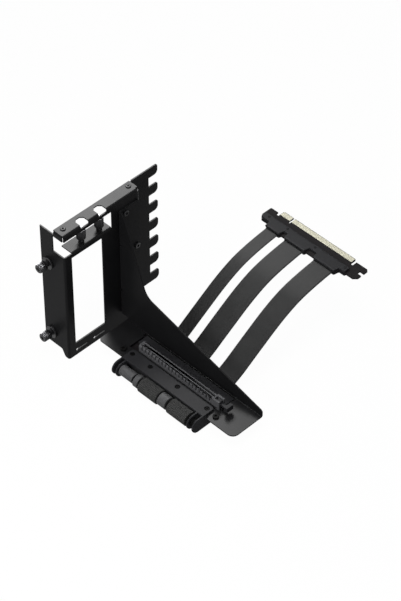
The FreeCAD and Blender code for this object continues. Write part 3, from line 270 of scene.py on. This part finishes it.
def break_edges(node, width_mm):
    """The solid with its sharp edges rounded: the same faces, merged where they are flat, then bevelled."""
    form = bmesh.new()
    form.from_mesh(nodes[node].data)
    bmesh.ops.remove_doubles(form, verts=form.verts, dist=SAME_POINT)
    bmesh.ops.dissolve_limit(form, angle_limit=SAME_FACE, verts=form.verts, edges=form.edges)
    mesh = bpy.data.meshes.new(node + "_form")
    form.to_mesh(mesh)
    form.free()
    mesh.materials.clear()
    mesh.shade_smooth()
    body = next(name for name, held in frame["record"]["behaviour"]["bodies"].items() if node in held)
    made = show(node + "_form", mesh, NODE_FINISH[node], body)
    bevel = made.modifiers.new("broken_edges", "BEVEL")
    bevel.width = width_mm / 1000
    bevel.segments = BEVEL_STEPS
    bevel.limit_method = "ANGLE"
    bevel.angle_limit = SHARP
    bevel.use_clamp_overlap = False
    normals = made.modifiers.new("flat_faces_stay_flat", "WEIGHTED_NORMAL")
    normals.weight = FLAT_FACE_WEIGHT
    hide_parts(node)
    return made


forms = {node: break_edges(node, width) for node, width in BROKEN_EDGES.items()}

# Ribbons: the route's points in the YZ plane, from the upper back edge of the riser board, and each one's
# left edge and width, from the left end of the card slot, in millimetres.
RIBBON_ROUTE = [(0.25, -0.7), (11.5, 2.25), (34.5, 17.65), (69.5, 40.05), (97.5, 50.15), (127.5, 52.95)]
RIBBONS = {"ribbon_left": (5.9, 13.6), "ribbon_middle": (27.9, 21.6), "ribbon_right": (62.5, 21.8)}
RIBBON_THICKNESS = 1.0
# Wires show as low ridges at this pitch, and take this share of the thickness; points across each ridge.
WIRE_PITCH, RIDGE_SHARE, RIDGE_POINTS = 1.7, 0.02, 8
ROUTE_STEPS, ROUTE_ORDER = 20, 3
# The power that squares off a round section: 2 is a circle, and more leaves only small round edges.
EDGE_POWER = 24
board_low, board_high = node_box("riser_board")
slot_low, slot_high = node_box("slot_housing")


def route_line(name, across):
    """The ribbon's centreline: a quadratic NURBS curve over the route's points, read as a line of points."""
    points = np.array([(across, board_high[1] + y, board_high[2] + z) for y, z in RIBBON_ROUTE]) / 1000
    curve = bpy.data.curves.new(name + "_route", "CURVE")
    curve.dimensions = "3D"
    curve.resolution_u = ROUTE_STEPS
    spline = curve.splines.new("NURBS")
    spline.points.add(len(points) - 1)
    spline.points.foreach_set("co", np.column_stack([points, np.ones(len(points))]).ravel())
    spline.order_u = ROUTE_ORDER
    spline.use_endpoint_u = True
    carrier = put(name + "_route", curve)
    line = bpy.data.meshes.new_from_object(carrier.evaluated_get(bpy.context.evaluated_depsgraph_get()))
    found = np.empty(len(line.vertices) * 3)
    line.vertices.foreach_get("co", found)
    bpy.data.objects.remove(carrier)
    bpy.data.meshes.remove(line)
    bpy.data.curves.remove(curve)
    return found.reshape(-1, 3)


def rounded(s):
    """Height of a section with small round edges at s from -1 to 1: (1 - |s| ** power) ** 0.5."""
    return np.sqrt(np.clip(1 - np.abs(s) ** EDGE_POWER, 0, 1))


def crowded(count):
    """Numbers from -1 to 1 that crowd towards both ends, where a section turns: the sine of even steps."""
    return np.sin(np.linspace(-np.pi / 2, np.pi / 2, count))


def there_and_back(out, back):
    """A closed loop: the values on the way out, then those on the way back without the two shared ends."""
    return np.concatenate([out, back[-2:0:-1]])


def ribbon(name, left, width):
    """A flat cable: the section (s, h(s)) carried along the route.

    s runs across the width, and h = thickness / 2 * (1 - share + share * cos(2 pi s / pitch)) * rounded(s),
    above the route on the way out and below it on the way back.
    """
    line = route_line(name, slot_low[0] + left + width / 2)
    tangent = np.gradient(line, axis=0)
    tangent /= np.linalg.norm(tangent, axis=1, keepdims=True)
    across = np.array([1.0, 0.0, 0.0])
    upward = np.cross(across, tangent)
    ridges = round(width / WIRE_PITCH)
    s = crowded(ridges * RIDGE_POINTS + 1)
    wave = 1 - RIDGE_SHARE + RIDGE_SHARE * np.cos(2 * np.pi * ridges * (s + 1) / 2)
    h = RIBBON_THICKNESS / 2 * wave * rounded(s)
    side = there_and_back(s, s) * width / 2
    rise = there_and_back(h, -h)
    vertices = line[:, None] * 1000 + side[None, :, None] * across + rise[None, :, None] * upward[:, None]
    faces = tube_faces(len(line), len(side))
    made = piece(name + "_cable", vertices, faces, ribbon_sleeve)
    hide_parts(name)


def prisms(name, outline, width, spots, material):
    """Equal upright prisms: the outline in (y, z) is carried over a width along X, once at each spot.

    A spot is (x, y, z, side), and a side of -1 turns the outline half round. All sizes in millimetres.
    """
    outline = np.asarray(outline, dtype=float)
    spots = np.asarray(spots, dtype=float)
    n = len(outline)
    local = np.zeros((2, n, 3))
    local[:, :, 0] = np.array([[-0.5], [0.5]]) * width
    local[:, :, 1:] = outline
    side = np.sign(spots[:, 3])
    turn = np.stack([side, side, np.ones(len(spots))], axis=-1)
    vertices = spots[:, None, None, :3] + local[None] * turn[:, None, None, :]
    return piece(name, vertices, tube_faces(2, n, len(spots)), material, smooth=False)


# Edge contacts: one finger a millimetre, eleven before the key and seventy-one after it.
CONTACT_PITCH = 1.0
BEFORE_KEY, AFTER_KEY = 11, 71


def contact_row(key_left, key_right, margin):
    """Places along X of the contacts on either side of the key, the first ones a margin away from it."""
    return np.concatenate([key_left - margin - CONTACT_PITCH * np.arange(BEFORE_KEY),
                           key_right + margin + CONTACT_PITCH * np.arange(AFTER_KEY)])


# Plug: gold fingers on both faces of its board, from the key notch outwards.
FINGER_LENGTH, FINGER_INSET, FINGER_WIDTH = 5.0, 0.4, 0.8
FINGER_HEIGHT, FINGER_WALL, FINGER_BREAK = 0.12, 0.06, 0.2
PLUG_KEY_INSET, PLUG_KEY_WIDTH, PLUG_KEY_MARGIN = 23.3, 1.9, 0.65
plug_low, plug_high = node_box("plug_board")
plug_key = plug_low[0] + PLUG_KEY_INSET
finger_x = contact_row(plug_key, plug_key + PLUG_KEY_WIDTH, PLUG_KEY_MARGIN)
finger_outline = [
    (0.0, 0.0),
    (FINGER_LENGTH, 0.0),
    (FINGER_LENGTH, FINGER_WALL),
    (FINGER_LENGTH - FINGER_BREAK, FINGER_HEIGHT),
    (FINGER_BREAK, FINGER_HEIGHT),
    (0.0, FINGER_WALL),
]
finger_back = plug_high[1] - FINGER_INSET - FINGER_LENGTH
finger_levels = (plug_high[2], plug_low[2] - FINGER_HEIGHT)
finger_spots = [(x, finger_back, level, 1) for level in finger_levels for x in finger_x]
fingers = prisms("plug_fingers", finger_outline, FINGER_WIDTH, finger_spots, gold_painted_reflection)
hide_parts("plug_contacts")

# Plug covers: a tongue over each ribbon, wider by the margin on either side, and round corners at both ends.
TONGUE_MARGIN, TONGUE_REACH, TONGUE_ROUND, COVER_CORNER = 1.6, 5.9, 0.5, 1.0
COVER_SECTIONS, SECTION_POINTS = 420, 33


def plug_cover(node, upward):
    """A moulded cover: sections in the YZ plane carried along X.

    Its back edge steps out to a tongue over each ribbon by smooth steps 0.5 + 0.5 tanh((x - end) / round). A
    section's height is H * rounded(s) over s from the back edge to the front edge, and at each end both edges
    draw in along a quarter circle.
    """
    low, high = node_box(node)
    x = np.linspace(low[0], high[0], COVER_SECTIONS)
    off_end = np.clip(COVER_CORNER - np.minimum(x - low[0], high[0] - x), 0, COVER_CORNER)
    inset = COVER_CORNER - np.sqrt(COVER_CORNER ** 2 - off_end ** 2)
    front = high[1] - inset
    starts = np.array([slot_low[0] + left - TONGUE_MARGIN for left, width in RIBBONS.values()])
    ends = np.array([slot_low[0] + left + width + TONGUE_MARGIN for left, width in RIBBONS.values()])
    steps = np.tanh((x[:, None] - starts) / TONGUE_ROUND) - np.tanh((x[:, None] - ends) / TONGUE_ROUND)
    back = low[1] + TONGUE_REACH * (1 - steps.sum(axis=1) / 2) + inset
    s = crowded(SECTION_POINTS)
    loop = there_and_back(s, s)
    rise = there_and_back(np.zeros(len(s)), (high[2] - low[2]) * rounded(s))
    y = (front + back)[:, None] / 2 + (front - back)[:, None] / 2 * loop
    z = np.broadcast_to(low[2] + rise if upward else high[2] - rise, y.shape)
    if not upward:
        y, z = y[:, ::-1], z[:, ::-1]
    vertices = np.stack([np.broadcast_to(x[:, None], y.shape), y, z], axis=-1)
    faces = tube_faces(len(x), len(loop))
    made = piece(node + "_moulding", vertices, faces, moulded_nylon)
    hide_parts(node)
    return made


covers = [plug_cover("plug_cover_top", True), plug_cover("plug_cover_bottom", False)]

# Screws are turned: rings of a radius and a height, each with the outline that its tool leaves.
AROUND = 120
KNURL_TEETH, KNURL_DEPTH = 30, 0.08
CROSS_HALF_SPAN, CROSS_HALF_WIDTH = 2.2, 0.55
THREAD_PITCH, THREAD_DEPTH, THREAD_RINGS = 0.794, 0.33, 10
# The least slant of an arm, so that nothing is divided by zero.
LEAST_SLANT = 1e-6
angle = np.linspace(0, 2 * np.pi, AROUND, endpoint=False)
across_arm = np.maximum(np.abs(np.cos(angle)), LEAST_SLANT)
along_arm = np.maximum(np.abs(np.sin(angle)), LEAST_SLANT)
# Reach of each outline at an angle, as a share of the ring's radius; the cross is in millimetres for a
# radius of 1.
OUTLINES = {
    "round": np.ones(AROUND),
    "hexagon": np.cos(np.pi / 6) / np.cos(np.mod(angle, np.pi / 3) - np.pi / 6),
    "knurl": 1 - KNURL_DEPTH * np.abs(np.sin(KNURL_TEETH * angle / 2)),
    "cross": np.maximum(np.minimum(CROSS_HALF_SPAN / across_arm, CROSS_HALF_WIDTH / along_arm),
                        np.minimum(CROSS_HALF_SPAN / along_arm, CROSS_HALF_WIDTH / across_arm)),
}
# Turns that lay a screw's own Z axis along Z, against Z, along X and against Y.
UPRIGHT = np.eye(3)
FACE_DOWN = np.diag([1, -1, -1])
TO_X = np.array([[0, 0, 1], [0, 1, 0], [-1, 0, 0]])
AWAY_Y = np.array([[1, 0, 0], [0, 0, -1], [0, 1, 0]])


def turned(rows):
    """Rings of a turned piece: ring i reaches r_i * outline(angle) at height z_i."""
    radius = np.array([r * OUTLINES[outline] for r, z, outline in rows])
    height = np.array([np.full(AROUND, z) for r, z, outline in rows])
    return np.stack([radius * np.cos(angle), radius * np.sin(angle), height], axis=-1)


def thread(crest, start, end):
    """Rings of a thread, faded out at both ends.

    r = crest - depth * |2 frac(z / pitch - angle / 2 pi) - 1|, with frac for what is left of a whole turn.
    """
    z = np.linspace(start, end, int((end - start) / THREAD_PITCH * THREAD_RINGS))[:, None]
    phase = np.mod(z / THREAD_PITCH - angle / (2 * np.pi), 1)
    fade = np.clip(np.minimum(z - start, end - z) / THREAD_PITCH, 0, 1)
    radius = crest - THREAD_DEPTH + fade * THREAD_DEPTH * (1 - np.abs(2 * phase - 1))
    height = np.broadcast_to(z, radius.shape)
    return np.stack([radius * np.cos(angle), radius * np.sin(angle), height], axis=-1)


def screws(name, node, blocks, turn, spots, material, body="bracket"):
    """Like screws from the same rings, each turned and carried to its spot in millimetres."""
    rings = np.concatenate(blocks)
    vertices = np.array([rings @ turn.T + spot for spot in spots])
    faces = tube_faces(len(rings), AROUND, len(spots))
    made = piece(name, vertices, faces, material, body)
    made.data.set_sharp_from_angle(angle=SHARP)
    if node:
        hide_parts(node)
    return made


# Along the axis they are told apart by, the points of one solid lie closer than this, and the solids of a
# node stand further apart.
APART = 1.5


def solid_boxes(node, axis):
    """Boxes of a node's solids that stand apart along an axis, in millimetres."""
    mesh = nodes[node].data
    points = np.empty(len(mesh.vertices) * 3)
    mesh.vertices.foreach_get("co", points)
    points = points.reshape(-1, 3) * 1000
    points = points[np.argsort(points[:, axis])]
    breaks = np.flatnonzero(np.diff(points[:, axis]) > APART) + 1
    return [(part.min(axis=0), part.max(axis=0)) for part in np.split(points, breaks)]


# The tip of every threaded screw: its flat end, and the height at which the thread starts.
TIP_RADIUS, TIP_HEIGHT = 0.6, 0.3


def threaded_tip(crest, end):
    """Rings of a tapered tip and the thread that runs from it to a height."""
    tip = turned([(TIP_RADIUS, 0, "round"), (crest - THREAD_DEPTH, TIP_HEIGHT, "round")])
    return [tip, thread(crest, TIP_HEIGHT, end)]


# Thumb screws: radii of the thread's crest, the relieved shank, the neck and the knurled head with its
# cross recess.
CREST, SHANK, NECK, HEAD = 1.75, 1.65, 2.6, 4.1
HEAD_CHAMFER, RECESS_DEPTH, RUN_OUT = 0.5, 1.6, 0.01
# Lengths of the thread, the shank and the neck.
CASE_SCREW = (5.0, 3.5, 2.0)
CARD_SCREW = (5.1, 1.4, 4.0)


def thumb_screw(name, lengths, turn):
    """A thumb screw in the place of its solid: rings from the thread's tip to the floor of the recess."""
    low, high = node_box(name)
    thread_length, shank_length, neck_length = lengths
    axis = turn[:, 2]
    length = np.abs(axis @ (high - low))
    tip = (low + high) / 2 - axis * length / 2
    neck = thread_length + shank_length
    head = neck + neck_length
    rim = HEAD - HEAD_CHAMFER
    above_thread = turned([
        (SHANK, thread_length + RUN_OUT, "round"),
        (SHANK, neck, "round"),
        (NECK, neck, "round"),
        (NECK, head, "round"),
        (rim, head, "round"),
        (HEAD, head + HEAD_CHAMFER, "knurl"),
        (HEAD, length - HEAD_CHAMFER, "knurl"),
        (rim, length, "round"),
        (1, length, "cross"),
        (1, length - RECESS_DEPTH, "cross"),
    ])
    blocks = [*threaded_tip(CREST, thread_length), above_thread]
    screws(name + "_turned", name, blocks, turn, [tip], black_zinc, name)


for side in ("lower", "upper"):
    thumb_screw(f"case_screw_{side}", CASE_SCREW, AWAY_Y)
for side in ("left", "right"):
    thumb_screw(f"card_screw_{side}", CARD_SCREW, UPRIGHT)

# Small screws: a cheese head with a hexagon socket on a threaded shank.
SMALL_SHANK, SMALL_HEAD, HEAD_HEIGHT, HEAD_BREAK = 1.5, 2.8, 1.5, 0.3
SOCKET, SOCKET_DEPTH = 1.45, 1.1
TURN_ALONG = {X: TO_X, Z: UPRIGHT}


def small_screws(node, axis, split, material):
    """Screws along one axis that are told apart along another: rings from the tip to the socket's floor."""
    turn = TURN_ALONG[axis]
    boxes = solid_boxes(node, split)
    length = boxes[0][1][axis] - boxes[0][0][axis]
    under_head = length - HEAD_HEIGHT
    spots = [(low + high) / 2 - turn[:, 2] * length / 2 for low, high in boxes]
    head = turned([
        (SMALL_SHANK, under_head, "round"),
        (SMALL_HEAD, under_head, "round"),
        (SMALL_HEAD, length - HEAD_BREAK, "round"),
        (SMALL_HEAD - HEAD_BREAK, length, "round"),
        (SOCKET, length, "hexagon"),
        (SOCKET, length - SOCKET_DEPTH, "hexagon"),
    ])
    screws(node + "_turned", node, [*threaded_tip(SMALL_SHANK, under_head), head], turn, spots, material)


small_screws("gusset_screws", X, Z, black_zinc)
small_screws("board_screws", Z, X, dark_oxide_and_shade)


def upright_rows(node, split, rows, name, material):
    """Turned pieces that stand upright: rows give radius, height and outline.

    A height counts from the foot, or down from the top where it is under 0.
    """
    boxes = solid_boxes(node, split)
    length = boxes[0][1][2] - boxes[0][0][2]
    spots = [np.array([*((low + high) / 2)[:2], low[2]]) for low, high in boxes]
    rings = [(r, z if z >= 0 else length + z, outline) for r, z, outline in rows]
    screws(name, node, [turned(rings)], UPRIGHT, spots, material)


# Guide screws: a collar, a gap round the head, the head with its edge broken, and a hexagon socket.
GUIDE_SCREW_ROWS = [
    (2.3, 0, "round"), (2.3, -0.01, "round"),
    (2.15, -0.01, "round"), (2.1, -0.7, "round"), (1.75, -0.7, "round"),
    (1.7, -0.15, "round"), (1.55, -0.01, "round"),
    (0.9, -0.01, "hexagon"), (0.9, -0.8, "hexagon"),
]
upright_rows("guide_screws", X, GUIDE_SCREW_ROWS, "guide_screws_turned", dark_oxide_and_shade)
# Frame rivets: a broken foot, a low dome, and the hole that the drawn mandrel leaves.
RIVET_ROWS = [
    (2.2, 0, "round"), (2.5, 0.2, "round"),
    (2.5, -0.55, "round"), (2.42, -0.25, "round"), (2.25, -0.08, "round"), (2.0, -0.02, "round"),
    (0.85, -0.01, "round"), (0.7, -0.1, "round"), (0.65, -0.85, "round"),
]
upright_rows("frame_rivets", Y, RIVET_ROWS, "frame_rivets_domed", powder_coat)

# Plug screws on both covers: low heads with a socket, in the near-black oxide finish, which is partly their
# own black and partly painted shade of their seats. Heights are from the cover's face, and places along X
# from the cover's left end.
PLUG_SCREW_ROWS = [
    (1.25, -0.05, "round"), (1.25, 0.06, "round"), (1.1, 0.14, "round"),
    (0.6, 0.14, "hexagon"), (0.6, -0.02, "hexagon"),
]
PLUG_SCREWS_X = (6.2, 28.0, 60.9, 95.9)
SCREW_SETBACK = 2.9


def plug_screws(name, node, face, turn):
    """A row of screws on a cover's outer face, which lies at this height."""
    low, high = node_box(node)
    spots = [np.array([low[0] + x, high[1] - SCREW_SETBACK, face]) for x in PLUG_SCREWS_X]
    return screws(name, None, [turned(PLUG_SCREW_ROWS)], turn, spots, dark_oxide_and_shade)


top_face = node_box("plug_cover_top")[1][2]
bottom_face = node_box("plug_cover_bottom")[0][2]
cover_screws = [
    plug_screws("plug_screws_top", "plug_cover_top", top_face, UPRIGHT),
    plug_screws("plug_screws_bottom", "plug_cover_bottom", bottom_face, FACE_DOWN),
]

for ribbon_name, (left_edge, ribbon_width) in RIBBONS.items():
    ribbon(ribbon_name, left_edge, ribbon_width)

# Card slot: springs that belly towards the card in two rows. Heights are from the top of the housing.
GROOVE_HALF, SPRING_WIDTH, SPRING_SUNK, SPRING_POINTS = 0.95, 0.5, 0.02, 8
SPRING_FOOT, SPRING_TIP = -8.4, -4.4
SPRING_DEPTH, BELLY_DEPTH, BELLY_HEIGHT, BELLY_SPREAD = 0.12, 0.36, -5.6, 1.1
SLOT_KEY_INSET, SLOT_KEY_WIDTH, SLOT_KEY_MARGIN = 14.6, 1.7, 0.7
slot_mid = (slot_low[1] + slot_high[1]) / 2
slot_key = slot_low[0] + SLOT_KEY_INSET
groove_x = contact_row(slot_key, slot_key + SLOT_KEY_WIDTH, SLOT_KEY_MARGIN)
spring_z = np.linspace(SPRING_FOOT, SPRING_TIP, SPRING_POINTS)
# The belly is a bell curve over the height: depth + belly * exp(-((z - belly height) / spread) ** 2).
belly = SPRING_DEPTH + BELLY_DEPTH * np.exp(-((spring_z - BELLY_HEIGHT) / BELLY_SPREAD) ** 2)
spring_back = [(-SPRING_SUNK, SPRING_TIP), (-SPRING_SUNK, SPRING_FOOT)]
spring_outline = np.concatenate([np.column_stack([belly, spring_z]), spring_back])
near_row = [(x, slot_mid - GROOVE_HALF, slot_high[2], 1) for x in groove_x]
far_row = [(x, slot_mid + GROOVE_HALF, slot_high[2], -1) for x in groove_x]
prisms("slot_springs", spring_outline, SPRING_WIDTH, near_row + far_row, gold_painted_reflection)

# Soldered tails of the springs under the board: a foot of solder that tapers to the pin's end.
TAIL_ROW, TAIL_REACH, TAIL_WIDTH = 1.6, 1.0, 0.55
FOOT_HALF, CONE_HALF, CONE_HEIGHT, TAIL_HALF = 0.4, 0.3, 0.2, 0.12
tail_outline = [
    (-FOOT_HALF, 0.0),
    (-CONE_HALF, -CONE_HEIGHT),
    (-TAIL_HALF, -TAIL_REACH),
    (TAIL_HALF, -TAIL_REACH),
    (CONE_HALF, -CONE_HEIGHT),
    (FOOT_HALF, 0.0),
]
tail_spots = [(x, slot_mid + row, board_low[2], 1) for row in (-TAIL_ROW, TAIL_ROW) for x in groove_x]
prisms("solder_tails", tail_outline, TAIL_WIDTH, tail_spots, solder)

# The floor is pale, shows white to the camera and in reflections, and keeps a soft shadow: nine tenths of
# what is seen of it is a white glow, and the rest takes the shadow.
FLOOR_GAP, FLOOR_HALF = 0.0005, 6.0
FLOOR_GLOW, FLOOR_GLOW_SHARE = 1.08, 0.9
WHITE = (1, 1, 1, 1)
lowest = cad_box[0][2] - FLOOR_GAP


def seen_white(tree):
    """1 for rays that show a surface to the eye: straight, in a reflection or through glass."""
    rays = add(tree, "ShaderNodeLightPath").outputs
    straight = add(tree, "ShaderNodeMath", {}, {0: rays["Is Camera Ray"], 1: rays["Is Glossy Ray"]},
                   operation="MAXIMUM")
    return add(tree, "ShaderNodeMath", {}, {0: straight.outputs[0], 1: rays["Is Transmission Ray"]},
               operation="MAXIMUM").outputs[0]


floor_paint, tree = new_material("pale_floor")
plain = add(tree, "ShaderNodeBsdfDiffuse", {"Color": colour("#969696")})
white = add(tree, "ShaderNodeEmission", {"Color": WHITE, "Strength": FLOOR_GLOW})
share = add(tree, "ShaderNodeMath", {1: FLOOR_GLOW_SHARE}, {0: seen_white(tree)}, operation="MULTIPLY")
mixed = add(tree, "ShaderNodeMixShader", {}, {0: share.outputs[0], 1: plain.outputs[0], 2: white.outputs[0]})
add(tree, "ShaderNodeOutputMaterial", {}, {"Surface": mixed.outputs[0]})
floor_mesh = bpy.data.meshes.new("floor")
floor_corners = [(-FLOOR_HALF, -FLOOR_HALF), (FLOOR_HALF, -FLOOR_HALF), (FLOOR_HALF, FLOOR_HALF),
                 (-FLOOR_HALF, FLOOR_HALF)]
floor_mesh.from_pydata([(x, y, lowest) for x, y in floor_corners], [], [(0, 1, 2, 3)])
floor_mesh.materials.append(floor_paint)
floor = put("floor", floor_mesh)

# The world is white where it is seen, and lights the object with a plain dim grey.
WORLD_LIGHT = 0.3
world = bpy.data.worlds.new("studio")
bpy.context.scene.world = world
world.use_nodes = True
tree = world.node_tree
tree.nodes.clear()
dim = add(tree, "ShaderNodeBackground", {"Color": colour("#D8DADC"), "Strength": WORLD_LIGHT})
bright = add(tree, "ShaderNodeBackground", {"Color": WHITE, "Strength": 1.0})
mixed = add(tree, "ShaderNodeMixShader", {}, {0: seen_white(tree), 1: dim.outputs[0], 2: bright.outputs[0]})
add(tree, "ShaderNodeOutputWorld", {}, {"Surface": mixed.outputs[0]})


def aim(eye, target):
    """A camera or lamp matrix: -Z looks from the eye to the target, X stays level."""
    back = np.asarray(eye, dtype=float) - np.asarray(target, dtype=float)
    back /= np.linalg.norm(back)
    right = np.cross([0.0, 0.0, 1.0], back)
    right /= np.linalg.norm(right)
    up = np.cross(back, right)
    turn = np.eye(4)
    turn[:3] = np.column_stack([right, up, back, eye])
    return Matrix(turn.tolist())


# Lamps that face the middle of the object: place and size in metres, watts, and whether they light colours.
# The back and side lamps stand for reflector cards: they show as sheen on the finishes and add no light of
# their own to the colours, so the sheen and the plain level of light are set apart from each other.
LAMPS = {
    "back_softbox": ((-0.40, 0.37, 0.62), (0.42, 0.32), 38.0, False),
    "side_softbox": ((-0.40, -0.10, 0.63), (0.2, 0.2), 10.0, False),
    "top_softbox": ((0.15, 0.0, 1.1), (0.6, 0.6), 6.0, True),
    "front_softbox": ((0.25, -0.85, 0.45), (0.5, 0.4), 4.6, True),
}
middle = (np.array(cad_box[0]) + np.array(cad_box[1])) / 2
for lamp_name, (place, size, watts, lights_colours) in LAMPS.items():
    lamp = bpy.data.lights.new(lamp_name, "AREA")
    lamp.shape = "RECTANGLE"
    lamp.size, lamp.size_y = size
    lamp.energy = watts
    softbox = put(lamp_name, lamp)
    softbox.matrix_world = aim(place, middle)
    softbox.visible_diffuse = lights_colours

# The camera was fitted to the slot pitch and the card edge: its focal length is in pixels of a 401 by 601
# image, and its eye lies off the model's origin by these metres along its own axes.
AZIMUTH, ELEVATION = np.radians(45.15), np.radians(44.62)
FOCAL_PIXELS, LONG_SIDE, SENSOR = 2540.0, 601, 36.0
EYE_BACK, EYE_RIGHT, EYE_UP = 2.14647, 0.12546, -0.00352
NEAREST, FARTHEST = 0.1, 30.0
level = np.cos(ELEVATION)
back = np.array([np.sin(AZIMUTH) * level, -np.cos(AZIMUTH) * level, np.sin(ELEVATION)])
right = np.array([np.cos(AZIMUTH), np.sin(AZIMUTH), 0.0])
eye = back * EYE_BACK + right * EYE_RIGHT + np.cross(back, right) * EYE_UP
lens = bpy.data.cameras.new("camera")
lens.sensor_width = SENSOR
lens.lens = FOCAL_PIXELS * SENSOR / LONG_SIDE
lens.clip_start, lens.clip_end = NEAREST, FARTHEST
camera = put("camera", lens)
camera.matrix_world = aim(eye, eye - back)
bpy.context.scene.camera = camera
bpy.context.scene.view_settings.view_transform = "Standard"
